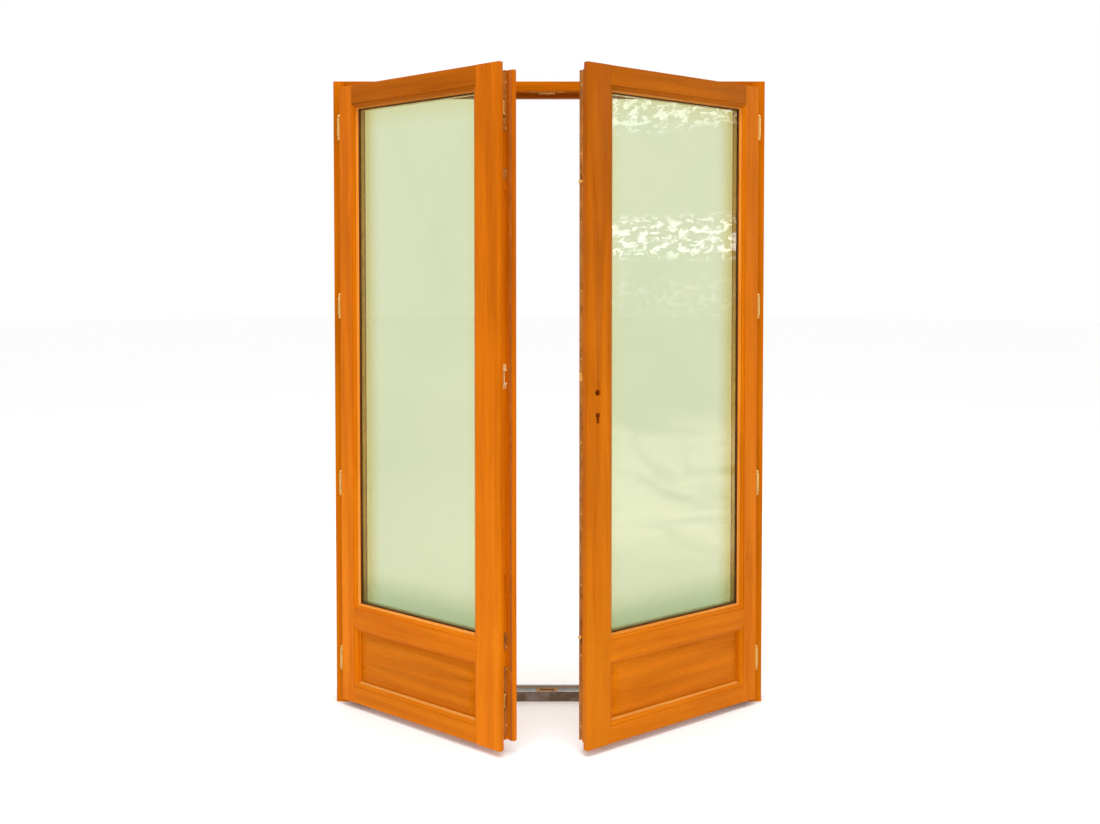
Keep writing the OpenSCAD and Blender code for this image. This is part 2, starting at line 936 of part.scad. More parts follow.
lever_l = 44;
lever_t = 6;
cheek = 2;
pivot_r = 1.5;
boss_r = 5;
guide_t = 16;
bolt_plate_w = 25;
bolt_screw_v = 8.5;
pivot_in = 88;
case_slot_w = lever_t + 2 * slide_gap;

// The end where a flush bolt leaves its case, and the height of its lever's pivot;
// e is +1 for the bolt that leaves upwards and -1 for the other
function tip_end(zs, e) = e > 0 ? zs[1] : zs[0];
function pivot_z(zs, e) = tip_end(zs, e) - e * pivot_in;
case_screw_places = [
  for (c = [[top_case, 1], [bottom_case, -1]])
    for (s = [-bolt_screw_v, bolt_screw_v])
      for (z = [tip_end(c[0], c[1]) - c[1] * 32, tip_end(c[0], -c[1]) + c[1] * 8])
        [hw_v + s, z]
];

// Flush bolt's case between the heights zs, with its guides and the lever's two cheeks
module bolt_case(zs, e) {
  tip = tip_end(zs, e);
  piv = pivot_z(zs, e);
  difference() {
    union() {
      box([groove_u, hw_v - bolt_plate_w / 2, zs[0]],
          [groove_u + keep_t, hw_v + bolt_plate_w / 2, zs[1]]);
      for (s = [14, 64])
        translate([0, 0, tip - e * s])
          box([bolt_u - bolt_r - 2, hw_v - 5.5, -guide_t / 2], [groove_u + 1, hw_v + 5.5, guide_t / 2]);
    }
    translate([bolt_u, hw_v, zs[0] - 5])
      cylinder(h = zs[1] - zs[0] + 10, r = bolt_r + run_gap);
    box([bolt_u, hw_v - case_slot_w / 2, min(piv + e * 7, piv - e * (lever_l + 8))],
        [groove_u + keep_t + 1, hw_v + case_slot_w / 2, max(piv + e * 7, piv - e * (lever_l + 8))]);
    for (p = case_screw_places)
      translate([groove_u + keep_t, p[0], p[1]])
        mirror([1, 0, 0])
          screw(16, slack);
  }
  translate([bolt_u, 0, piv]) {
    for (s = [-1, 1])
      box([-4, hw_v + s * 4.5 - cheek / 2, -5], [groove_u - bolt_u + 0.5, hw_v + s * 4.5 + cheek / 2, 5]);
    bar_y(hw_v - 4.5, hw_v + 4.5, pivot_r);
  }
}

// The rod, from its tip down to just clear of the lever's boss
module flush_bolt(zs, e) {
  tip_z = e > 0 ? body_high - tip_room : body_low + tip_room;
  tail = pivot_z(zs, e) + e * (boss_r + 0.5);
  translate([bolt_u, hw_v, min(tip_z, tail)])
    cylinder(h = abs(tip_z - tail), r = bolt_r);
}

module lever(zs, e) {
  translate([bolt_u, hw_v, pivot_z(zs, e)])
    difference() {
      union() {
        bar_y(-lever_t / 2, lever_t / 2, boss_r);
        box([-1, -lever_t / 2, min(0, -e * lever_l)], [boss_r, lever_t / 2, max(0, -e * lever_l)]);
        translate([boss_r, 0, -e * (lever_l - 4)])
          bar_y(-lever_t / 2, lever_t / 2, 3.5);
      }
      bar_y(-lever_t, lever_t, pivot_r + slack);
    }
}

// Recesses in the edge of the left leaf's meeting stile
module bolt_recess(zs, e) {
  far = e > 0 ? body_high + 1 : body_low - 1;
  near = e > 0 ? zs[0] + 4 : zs[1] - 4;
  box([bolt_u - bolt_r - 3, hw_v - 6, min(near, far)], [groove_u + 1, hw_v + 6, max(near, far)]);
}

spare_marks = [[503, 558], [1693, 1742]];
spare_d = 3;

// -------------------------------------------------- lock of the right leaf

// Outline of the key cylinder's hole, in u and z round its middle
module key_hole() {
  circle(r = key_r);
  translate([-key_web / 2, key_r - key_h])
    square([key_web, key_h - key_r]);
}

module lock_pocket() {
  box([case_u - 1, hw_v - case_t / 2 - slide_gap, case_low - 2],
      [right_edge + 1, hw_v + case_t / 2 + slide_gap, case_high + 2]);
  box([rod_u - 2, hw_v - rod_w / 2 - 1, body_low - 1],
      [right_edge + 1, hw_v + rod_w / 2 + 1, body_high + 1]);
  box([right_edge - plate_t, hw_v - plate_w / 2, plate_low],
      [right_edge + 1, hw_v + plate_w / 2, plate_high]);
}

module through_holes(v0, v1, r) {
  along_v(v0, v1) {
    translate([spindle_u, spindle_z])
      circle(r = r);
    translate([spindle_u, key_z])
      key_hole();
  }
}

module faceplate() {
  difference() {
    box([right_edge - plate_t, hw_v - plate_w / 2, plate_low],
        [right_edge, hw_v + plate_w / 2, plate_high]);
    box([right_edge - 10, hw_v - latch_w / 2 - slide_gap, latch_z - latch_h / 2 - slide_gap],
        [right_edge + 1, hw_v + latch_w / 2 + slide_gap, latch_z + latch_h / 2 + slide_gap]);
    roller_slot(roller_high, 1);
    roller_slot(roller_low, -1);
    for (z = plate_screw_zs)
      translate([right_edge, hw_v, z])
        mirror([1, 0, 0])
          screw(plate_screw_l, slack);
    cylinder_screw_hole();
  }
}

module roller_slot(z, e) {
  r = neck_r + slide_gap;
  translate([0, hw_v, z])
    bar_x(right_edge - 10, right_edge + 1, r);
  translate([0, hw_v, z + e * bolt_travel])
    bar_x(right_edge - 10, right_edge + 1, r);
  box([right_edge - 10, hw_v - r, min(z, z + e * bolt_travel)],
      [right_edge + 1, hw_v + r, max(z, z + e * bolt_travel)]);
}

// Screws of the faceplate, evenly spaced below and above the lock case
plate_screw_end = 40;
plate_screw_in = 20;
plate_screw_l = 12;
function spaced(z0, z1, n) = [for (i = [0:n - 1]) z0 + i * (z1 - z0) / (n - 1)];
low_screw_zs = spaced(plate_low + plate_screw_end, case_low - plate_screw_in, 5);
high_screw_zs = spaced(case_high + plate_screw_in, plate_high - plate_screw_end, 5);
plate_screw_zs = concat(low_screw_zs, high_screw_zs);

// Hole through which a screw holds the key cylinder
module cylinder_screw_hole() {
  translate([0, hw_v, key_z])
    bar_x(right_edge - 10, right_edge + 1, cylinder_screw_r);
}

module lock_case() {
  difference() {
    box([case_u, hw_v - case_t / 2, case_low], [right_edge - plate_t, hw_v + case_t / 2, case_high]);
    box([case_u + case_wall, hw_v - case_t / 2 + case_wall, case_low + case_wall],
        [right_edge - plate_t - case_wall, hw_v + case_t / 2 - case_wall, case_high - case_wall]);
    box([right_edge - 10, hw_v - latch_w / 2 - slide_gap, latch_z - latch_h / 2 - slide_gap],
        [right_edge, hw_v + latch_w / 2 + slide_gap, latch_z + latch_h / 2 + slide_gap]);
    through_holes(hw_v - case_t, hw_v + case_t, hub_r + run_gap);
    cylinder_screw_hole();
  }
}

module follower() {
  difference() {
    translate([spindle_u, hw_v, spindle_z]) {
      bar_y(-case_t / 2, case_t / 2, hub_r);
      bar_y(-4, 4, follower_r);
      box([-4, -3, 0], [4, 3, follower_r + 7]);
    }
    translate([spindle_u, hw_v, spindle_z])
      box([-spindle_sq / 2, -case_t, -spindle_sq / 2], [spindle_sq / 2, case_t, spindle_sq / 2]);
  }
}

// Latch, with its nose bevelled on the outer side
module latch() {
  tip = right_edge + latch_out;
  v0 = hw_v - latch_w / 2;
  v1 = hw_v + latch_w / 2;
  up(latch_z - latch_h / 2, latch_z + latch_h / 2)
    polygon([
      [tip - latch_l, v0], [tip - latch_l, v1], [tip - latch_out - 1, v1],
      [tip, v0 + 2.5], [tip, v0]
    ]);
}

// Locking rod between the heights z0 and z1, slotted where the faceplate's screws pass
// through it, with a round tip; e is +1 where it locks upwards and -1 downwards
module rod(z0, z1, tip_z, e, screw_zs) {
  difference() {
    box([rod_u, hw_v - rod_w / 2, z0], [rod_u + rod_t, hw_v + rod_w / 2, z1]);
    for (z = screw_zs)
      box([rod_u - 1, hw_v - screw_r - slide_gap, min(z, z - e * bolt_travel) - screw_r - slide_gap],
          [right_edge, hw_v + screw_r + slide_gap, max(z, z - e * bolt_travel) + screw_r + slide_gap]);
  }
  translate([rod_axis_u, hw_v, min(tip_z, tip_z - e * (tip_l + 2))])
    cylinder(h = tip_l + 2, r = bolt_r);
}

module roller(z) {
  translate([0, hw_v, z]) {
    bar_x(rod_u + rod_t, right_edge + 1, neck_r);
    bar_x(right_edge + 1, right_edge + 1 + roller_l, roller_r);
  }
}

// ------------------------------------------------------------ leaf nodes

module left_hinge_stile() {
  color("darkorange")
    on_left()
      hinge_stile();
}

module left_meeting_stile() {
  color("darkorange")
    on_left()
      difference() {
        union() {
          meeting_lip(left_edge, left_flat);
          left_meeting_body();
        }
        mortises(left_flat - rebate_in, 1);
        bolt_recess(top_case, 1);
        bolt_recess(bottom_case, -1);
        for (m = spare_marks)
          box([groove_u - spare_d, hw_v - 8, m[0]], [groove_u + 1, hw_v + 8, m[1]]);
        for (p = left_screw_places)
          translate([groove_u + keep_t, p[0], p[1]])
            mirror([1, 0, 0])
              screw(16, slack);
      }
}

left_screw_places = concat(case_screw_places, [
  [hw_v, strike_screw_zs[0]], [hw_v, strike_screw_zs[1]],
  [tongue_v - 6, upper_keep_z[1] - 8], [tongue_v - 6, lower_keep_z[0] + 8]
]);

module left_screws() {
  color("gold")
    on_left()
      for (p = left_screw_places)
        translate([groove_u + keep_t, p[0], p[1]])
          mirror([1, 0, 0])
            slotted_screw(16);
}

module left_top_rail() {
  color("darkorange")
    on_left()
      top_rail(left_flat);
}

module left_mid_rail() {
  color("darkorange")
    on_left()
      mid_rail(left_flat);
}

module left_bottom_rail() {
  color("darkorange")
    on_left()
      bottom_rail(left_flat);
}

module left_panel() {
  color("orange")
    on_left()
      raised_panel(left_flat);
}

module left_inner_pane() {
  color("beige", 0.5)
    on_left()
      pane(left_flat, glass_v);
}

module left_outer_pane() {
  color("beige", 0.5)
    on_left()
      pane(left_flat, glass_v + pane_t + spacer_w);
}

module left_spacer() {
  color("dimgray")
    on_left()
      spacer(left_flat);
}

module left_edge_seal() {
  color("black")
    on_left()
      edge_seal(left_flat);
}

module left_beads() {
  color("darkorange")
    on_left()
      beads(left_flat);
}

module left_glazing_gasket() {
  color("saddlebrown")
    on_left()
      glazing_gasket(left_flat);
}

module left_weather_bar() {
  color("darkorange")
    on_left()
      weather_bar(left_edge);
}

module left_hinges() {
  color("gold")
    on_left()
      leaf_half();
}

module left_centre_strike() {
  on_left()
    centre_strike();
}

module left_bolt_cases() {
  color("goldenrod")
    on_left() {
      bolt_case(top_case, 1);
      bolt_case(bottom_case, -1);
    }
}

module left_top_bolt() {
  color("silver")
    on_left()
      flush_bolt(top_case, 1);
}

module left_top_lever() {
  color("gold")
    on_left()
      lever(top_case, 1);
}

module left_bottom_bolt() {
  color("silver")
    on_left()
      flush_bolt(bottom_case, -1);
}

module left_bottom_lever() {
  color("gold")
    on_left()
      lever(bottom_case, -1);
}

module left_meeting_gasket() {
  color("saddlebrown")
    on_left()
      box([tongue_u - 15, right_step_v + gasket_gap, body_low], [tongue_u - 9, tongue_v, body_high]);
}

module right_hinge_stile() {
  color("darkorange")
    on_right()
      hinge_stile();
}

module right_meeting_stile() {
  color("darkorange")
    on_right()
      difference() {
        union() {
          meeting_lip(right_edge, right_flat);
          right_meeting_body();
        }
        mortises(right_flat - rebate_in, 1);
        lock_pocket();
        through_holes(lip_front - 1, leaf_back + 1, spindle_r);
        for (z = plate_screw_zs)
          translate([right_edge, hw_v, z])
            mirror([1, 0, 0])
              screw(plate_screw_l, slack);
      }
}

module right_top_rail() {
  color("darkorange")
    on_right()
      top_rail(right_flat);
}

module right_mid_rail() {
  color("darkorange")
    on_right()
      mid_rail(right_flat);
}

module right_bottom_rail() {
  color("darkorange")
    on_right()
      bottom_rail(right_flat);
}

module right_panel() {
  color("orange")
    on_right()
      raised_panel(right_flat);
}

module right_inner_pane() {
  color("beige", 0.5)
    on_right()
      pane(right_flat, glass_v);
}

module right_outer_pane() {
  color("beige", 0.5)
    on_right()
      pane(right_flat, glass_v + pane_t + spacer_w);
}

module right_spacer() {
  color("dimgray")
    on_right()
      spacer(right_flat);
}

module right_edge_seal() {
  color("black")
    on_right()
      edge_seal(right_flat);
}

module right_beads() {
  color("darkorange")
    on_right()
      beads(right_flat);
}

module right_glazing_gasket() {
  color("saddlebrown")
    on_right()
      glazing_gasket(right_flat);
}

module right_weather_bar() {
  color("darkorange")
    on_right()
      weather_bar(right_edge);
}

module right_hinges() {
  color("gold")
    on_right()
      leaf_half();
}

module right_faceplate() {
  color("goldenrod")
    on_right()
      faceplate();
}

module right_lock_case() {
  color("gray")
    on_right()
      lock_case();
}

module right_follower() {
  color("silver")
    on_right()
      follower();
}

module right_latch() {
  color("gold")
    on_right()
      latch();
}

module right_upper_rod() {
  color("silver")
    on_right()
      rod(case_high + 4, body_high - tip_l, body_high - tip_room, 1, high_screw_zs);
}

module right_lower_rod() {
  color("silver")
    on_right()
      rod(body_low + tip_l, case_low - 4, body_low + tip_room, -1, low_screw_zs);
}

module right_upper_roller() {
  color("gold")
    on_right()
      roller(roller_high);
}

module right_lower_roller() {
  color("gold")
    on_right()
      roller(roller_low);
}

module right_screws() {
  color("gold")
    on_right()
      for (z = plate_screw_zs)
        translate([right_edge, hw_v, z])
          mirror([1, 0, 0])
            slotted_screw(plate_screw_l);
}

jamb_left();
jamb_right();
head();
threshold();
frame_gasket();
threshold_gasket();
head_keep();
threshold_keep();
keep_screws();
jamb_screws();
frame_hinges();
hinge_pins();
left_hinge_stile();
left_meeting_stile();
left_top_rail();
left_mid_rail();
left_bottom_rail();
left_panel();
left_inner_pane();
left_outer_pane();
left_spacer();
left_edge_seal();
left_beads();
left_glazing_gasket();
left_weather_bar();
left_hinges();
left_centre_strike();
left_upper_keep();
left_lower_keep();
left_screws();
left_bolt_cases();
left_top_bolt();
left_top_lever();
left_bottom_bolt();
left_bottom_lever();
left_meeting_gasket();
right_hinge_stile();
right_meeting_stile();
right_top_rail();
right_mid_rail();
right_bottom_rail();
right_panel();
right_inner_pane();
right_outer_pane();
right_spacer();
right_edge_seal();
right_beads();
right_glazing_gasket();
right_weather_bar();
right_hinges();
right_faceplate();
right_lock_case();
right_follower();
right_latch();
right_upper_rod();
right_lower_rod();
right_upper_roller();
right_lower_roller();
right_screws();
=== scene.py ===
"""A pair of french doors in their frame: the finish and the fine shape of every piece.

Lengths are in metres. A leaf has its own axes: u from its hinge pins to its meeting edge,
v from the room to the outside, and z up. The doorway's axes are the frame's.
"""

import json
import logging
import math
from dataclasses import dataclass, field, replace
from enum import Enum

import bmesh
import bpy
from mathutils import Matrix, Vector

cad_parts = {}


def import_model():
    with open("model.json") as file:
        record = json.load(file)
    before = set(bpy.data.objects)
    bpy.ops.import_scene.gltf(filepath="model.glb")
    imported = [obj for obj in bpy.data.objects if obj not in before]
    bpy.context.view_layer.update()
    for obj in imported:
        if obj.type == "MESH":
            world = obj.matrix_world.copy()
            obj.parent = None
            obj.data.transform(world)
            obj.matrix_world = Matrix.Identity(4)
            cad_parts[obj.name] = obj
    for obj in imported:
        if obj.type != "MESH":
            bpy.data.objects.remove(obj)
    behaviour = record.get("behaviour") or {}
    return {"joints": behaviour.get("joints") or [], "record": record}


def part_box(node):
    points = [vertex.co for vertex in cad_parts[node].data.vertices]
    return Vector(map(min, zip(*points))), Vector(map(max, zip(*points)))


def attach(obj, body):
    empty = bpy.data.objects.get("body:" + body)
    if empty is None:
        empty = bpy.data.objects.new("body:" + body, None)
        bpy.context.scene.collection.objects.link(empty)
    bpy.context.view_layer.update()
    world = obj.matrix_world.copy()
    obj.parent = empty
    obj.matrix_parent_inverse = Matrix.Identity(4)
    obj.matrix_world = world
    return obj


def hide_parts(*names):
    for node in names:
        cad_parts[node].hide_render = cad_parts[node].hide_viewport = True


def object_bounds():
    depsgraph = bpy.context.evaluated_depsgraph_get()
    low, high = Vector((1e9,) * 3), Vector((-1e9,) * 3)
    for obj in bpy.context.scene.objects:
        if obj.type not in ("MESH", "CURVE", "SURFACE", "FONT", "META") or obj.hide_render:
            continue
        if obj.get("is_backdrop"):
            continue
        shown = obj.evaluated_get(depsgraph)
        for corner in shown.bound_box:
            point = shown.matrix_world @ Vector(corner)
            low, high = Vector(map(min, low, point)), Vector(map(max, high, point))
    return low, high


log = logging.getLogger("french_doors")

MM = 0.001


class Grain(Enum):
    """The way the fibres of a board run, as the scale of its pattern along each axis."""

    UPRIGHT = (1.0, 1.0, 0.05)
    ACROSS = (0.05, 1.0, 1.0)


@dataclass(frozen=True)
class Hanging:
    """How a piece's own axes stand in the doorway: its pin's place and its turn about it."""

    pin: tuple[float, float] = (0.0, 0.0)
    turn: float = 0.0
    mirrored: bool = False

    def to_doorway(self) -> Matrix:
        """Gives the matrix from the piece's own axes to the doorway's."""
        place = Matrix.Translation((*self.pin, 0.0)) @ Matrix.Rotation(self.turn, 4, "Z")
        return place @ Matrix.Diagonal((-1.0, 1.0, 1.0, 1.0)) if self.mirrored else place

    def box(self, node: str) -> tuple[Vector, Vector]:
        """Measures a CAD node along the piece's own axes.

        Args:
            node: the CAD node's name.

        Returns:
            Its lowest and highest corner.
        """
        back = self.to_doorway().inverted()
        points = [back @ v.co for v in bpy.data.objects[node].data.vertices]
        return (
            Vector(min(p[i] for p in points) for i in range(3)),
            Vector(max(p[i] for p in points) for i in range(3)),
        )


class Recipe:
    """A material in the making: its nodes, with short ways to add and join them."""

    def __init__(self, name: str) -> None:
        """Starts a material with nothing but its main shader."""
        self.material = bpy.data.materials.new(name)
        self.material.use_nodes = True
        self.nodes = self.material.node_tree.nodes
        self.links = self.material.node_tree.links
        self.shader = self.nodes["Principled BSDF"]

    def add(self, kind: str, inputs: dict | None = None, **settings: object) -> bpy.types.Node:
        """Adds a node and fills its sockets.

        Args:
            kind: the node's type, without its ShaderNode prefix.
            inputs: a value or another node's output for each socket.
            settings: the node's own settings.

        Returns:
            The new node.
        """
        made = self.nodes.new("ShaderNode" + kind)
        for name, value in settings.items():
            setattr(made, name, value)
        for socket, value in (inputs or {}).items():
            self.put(made, socket, value)
        return made

    def put(self, node: bpy.types.Node, socket: str | int, value: object) -> None:
        """Sets one socket of a node, or joins another node's output to it."""
        if isinstance(value, bpy.types.NodeSocket):
            self.links.new(value, node.inputs[socket])
        else:
            node.inputs[socket].default_value = value

    def surface(self, **values: object) -> None:
        """Sets the main shader's sockets; an underscore stands for a space."""
        for name, value in values.items():
            self.put(self.shader, name.replace("_", " "), value)

    def place(self, hanging: Hanging) -> bpy.types.NodeSocket:
        """Gives the surface's place along a piece's own axes."""
        inputs = {
            0: self.add("TexCoord").outputs["Object"],
            "Location": (*hanging.pin, 0.0),
            "Rotation": (0.0, 0.0, hanging.turn),
        }
        return self.add("Mapping", inputs, vector_type="TEXTURE").outputs[0]

    def stretched(
        self,
        place: bpy.types.NodeSocket,
        scale: tuple[float, ...],
        shift: tuple[float, ...] = (0, 0, 0),
    ) -> bpy.types.NodeSocket:
        """Gives a place scaled along each axis, then shifted."""
        return self.add("Mapping", {0: place, "Location": shift, "Scale": scale}).outputs[0]

    def noise(
        self,
        place: bpy.types.NodeSocket,
        scale: float,
        detail: float = 2.0,
        rough: float = 0.5,
        bend: float = 0.0,
    ) -> bpy.types.NodeSocket:
        """Gives a cloudy pattern from 0 to 1."""
        inputs = {"Vector": place, "Scale": scale, "Detail": detail, "Roughness": rough, "Distortion": bend}
        return self.add("TexNoise", inputs).outputs[0]

    def math(self, operation: str, a: object, b: object = 0.5, c: object = 0.5) -> bpy.types.NodeSocket:
        """Gives the result of a sum on one, two or three numbers."""
        return self.add("Math", {0: a, 1: b, 2: c}, operation=operation).outputs[0]

    def spread(
        self, value: object, low: float, high: float, to_low: float = 0.0, to_high: float = 1.0
    ) -> bpy.types.NodeSocket:
        """Gives a value moved from one range to another, and held inside it."""
        inputs = {0: value, 1: low, 2: high, 3: to_low, 4: to_high}
        return self.add("MapRange", inputs, clamp=True).outputs[0]

    def band(self, value: object, limits: tuple[float, float, float, float]) -> bpy.types.NodeSocket:
        """Gives 1 between the two middle limits, falling to 0 at the outer ones."""
        start, full_from, full_to, end = limits
        return self.math("MULTIPLY", self.spread(value, start, full_from), self.spread(value, end, full_to))

    def ramp(self, value: object, stops: list[tuple[float, tuple[float, ...]]]) -> bpy.types.NodeSocket:
        """Gives the colour that a value has between stops."""
        made = self.add("ValToRGB", {0: value})
        bar = made.color_ramp.elements
        while len(bar) < len(stops):
            bar.new(0.5)
        for element, (at, colour) in zip(bar, stops):
            element.position = at
            element.color = (*colour[:3], 1.0)
        return made.outputs[0]

    def mix(self, share: object, a: object, b: object, blend: str = "MIX") -> bpy.types.NodeSocket:
        """Gives two colours mixed."""
        made = self.add("Mix", data_type="RGBA", blend_type=blend)
        for socket, value in ((0, share), (6, a), (7, b)):
            self.put(made, socket, (*value, 1.0) if isinstance(value, tuple) else value)
        return made.outputs[2]

    def bump(self, height: object, distance: float, strength: float = 1.0) -> None:
        """Joins a height to the main shader's normal."""
        made = self.add("Bump", {"Height": height, "Distance": distance, "Strength": strength})
        self.put(self.shader, "Normal", made.outputs[0])


@dataclass(frozen=True)
class PaintedShadeAndTone:
    """How one board differs from its neighbours: its darkness, painted shade mixed with the board's own
    colour; its painted shade with height, darker higher up; its figure.
    """

    shade: float = 1.0
    fade: float = -0.13
    figure: float = 0.03


@dataclass(frozen=True)
class Timber:
    """Orange-brown hardwood under satin varnish, with streaks, growth lines and pores, and painted shade by
    board and by height.
    """

    name: str
    hanging: Hanging
    grain: Grain
    seed: float
    painted_shade_and_tone: PaintedShadeAndTone = PaintedShadeAndTone()
    pale: tuple[float, float, float] = (0.745, 0.198, 0.003)
    mid: tuple[float, float, float] = (0.615, 0.142, 0.001)
    deep: tuple[float, float, float] = (0.44, 0.092, 0.0005)

    def material(self) -> bpy.types.Material:
        """Makes the board's material."""
        r = Recipe(self.name)
        place = r.place(self.hanging)
        shift = (self.seed * 1.7, self.seed * 2.3, self.seed * 0.9)
        fibres = r.stretched(place, self.grain.value, shift)
        streaks = r.noise(fibres, 60.0, 5.0, 0.62, 0.5)
        lines = r.add(
            "TexWave",
            {"Vector": fibres, "Scale": 7.0, "Distortion": 7.0, "Detail": 3.0, "Detail Scale": 1.6},
            bands_direction="DIAGONAL",
        ).outputs["Fac"]
        cloud = r.noise(r.stretched(place, (1, 1, 1), shift), 2.2, 2.0)
        painted_shade_and_tone = r.math("MULTIPLY_ADD", streaks, 0.62, r.math("MULTIPLY", lines, 0.14))
        painted_shade_and_tone = r.math("ADD", painted_shade_and_tone, r.math("MULTIPLY_ADD", cloud, 0.5, -0.13))
        height = r.add("SeparateXYZ", {0: place}).outputs["Z"]
        # painted shade with height: the wood darker higher up
        painted_shade_and_tone = r.math("MULTIPLY_ADD", r.math("SUBTRACT", height, 1.0), self.painted_shade_and_tone.fade, painted_shade_and_tone)
        colour = r.ramp(painted_shade_and_tone, [(0.18, self.deep), (0.5, self.mid), (0.82, self.pale)])
        short = tuple(1.0 if s == 1.0 else 0.09 for s in self.grain.value)
        pores = r.spread(r.noise(r.stretched(place, short, shift), 620.0, 1.0), 0.60, 0.72)
        colour = r.mix(r.math("MULTIPLY", pores, 0.45), colour, self.deep)
        figure = self.painted_shade_and_tone.figure
        # figure bands, and painted shade per board mixed with its own colour, scale the colour
        bands = r.spread(r.noise(fibres, 46.0, 2.0), 0.35, 0.65, 1.0 - figure, 1.0 + figure)
        colour = r.mix(1.0, colour, r.math("MULTIPLY", bands, self.painted_shade_and_tone.shade), "MULTIPLY")
        r.surface(
            Base_Color=colour,
            Roughness=r.spread(streaks, 0.3, 0.7, 0.26, 0.36),
            Specular_IOR_Level=0.42,
            Specular_Tint=(1.0, 0.52, 0.02, 1.0),
        )
        relief = r.math("SUBTRACT", r.math("MULTIPLY", streaks, 0.5), pores)
        r.bump(relief, 0.25 * MM, 0.5)
        return r.material


@dataclass(frozen=True)
class Metal:
    """A bare or plated metal with fine scratches and a dulled, uneven film."""

    name: str
    colour: tuple[float, float, float]
    dull: tuple[float, float, float]
    rough: tuple[float, float] = (0.24, 0.42)
    brushed: tuple[float, float, float] = (1.0, 1.0, 1.0)
    scratch: float = 0.06 * MM
    metallic: float = 1.0

    def material(self) -> bpy.types.Material:
        """Makes the metal's material."""
        r = Recipe(self.name)
        place = r.add("TexCoord").outputs["Object"]
        film = r.noise(place, 35.0, 4.0, 0.6)
        lines = r.noise(r.stretched(place, self.brushed), 700.0, 2.0, 0.6)
        wear = r.math("MULTIPLY_ADD", lines, 0.4, r.math("MULTIPLY", film, 0.6))
        r.surface(
            Base_Color=r.mix(r.spread(film, 0.35, 0.7), self.colour, self.dull),
            Metallic=self.metallic,
            Roughness=r.spread(wear, 0.3, 0.7, *self.rough),
        )
        r.bump(lines, self.scratch, 0.6)
        return self.add_painted_shade(r, place).material

    def add_painted_shade(self, r: Recipe, place: bpy.types.NodeSocket) -> Recipe:
        """Gives the recipe as it is; a metal with painted shade adds it here."""
        return r


@dataclass(frozen=True)
class SillMetal(Metal):
    """The threshold's aluminium, with painted shade in grey-brown on its upright front."""

    front: float = 0.0
    painted_front_shade: tuple[float, float, float] = (0.13, 0.085, 0.045)
    painted_front_shade_depths: tuple[float, float] = (0.8 * MM, 0.1 * MM)

    def add_painted_shade(self, r: Recipe, place: bpy.types.NodeSocket) -> Recipe:
        """Paints shade in grey-brown on the profile's front and dulls it there.

        Args:
            r: the metal's recipe.
            place: the surface's place.

        Returns:
            The same recipe.
        """
        depth = r.add("SeparateXYZ", {0: place}).outputs["Y"]
        film = r.spread(r.noise(place, 22.0, 4.0, 0.6), 0.25, 0.6, 0.72, 1.0)
        unshaded_depth, shaded_depth = (self.front + behind for behind in self.painted_front_shade_depths)
        # painted shade: the upright front grey-brown and less metallic
        painted_shade_share = r.math("MULTIPLY", film, r.spread(depth, unshaded_depth, shaded_depth))
        colour = r.shader.inputs["Base Color"].links[0].from_socket
        r.surface(Base_Color=r.mix(painted_shade_share, colour, self.painted_front_shade), Metallic=r.math("SUBTRACT", 1.0, painted_shade_share))
        return r


@dataclass(frozen=True)
class Seal:
    """A soft extruded seal with a matt, faintly ribbed skin."""

    name: str
    colour: tuple[float, float, float]

    def material(self) -> bpy.types.Material:
        """Makes the seal's material."""
        r = Recipe(self.name)
        place = r.add("TexCoord").outputs["Object"]
        skin = r.noise(place, 900.0, 2.0)
        dust = r.noise(place, 14.0, 4.0, 0.6)
        pale = tuple(min(1.0, c * 1.9 + 0.01) for c in self.colour)
        r.surface(
            Base_Color=r.mix(r.spread(dust, 0.45, 0.8, 0.0, 0.6), self.colour, pale),
            Roughness=r.spread(skin, 0.3, 0.7, 0.55, 0.8),
            Specular_IOR_Level=0.3,
        )
        r.bump(skin, 0.1 * MM, 0.5)
        return r.material


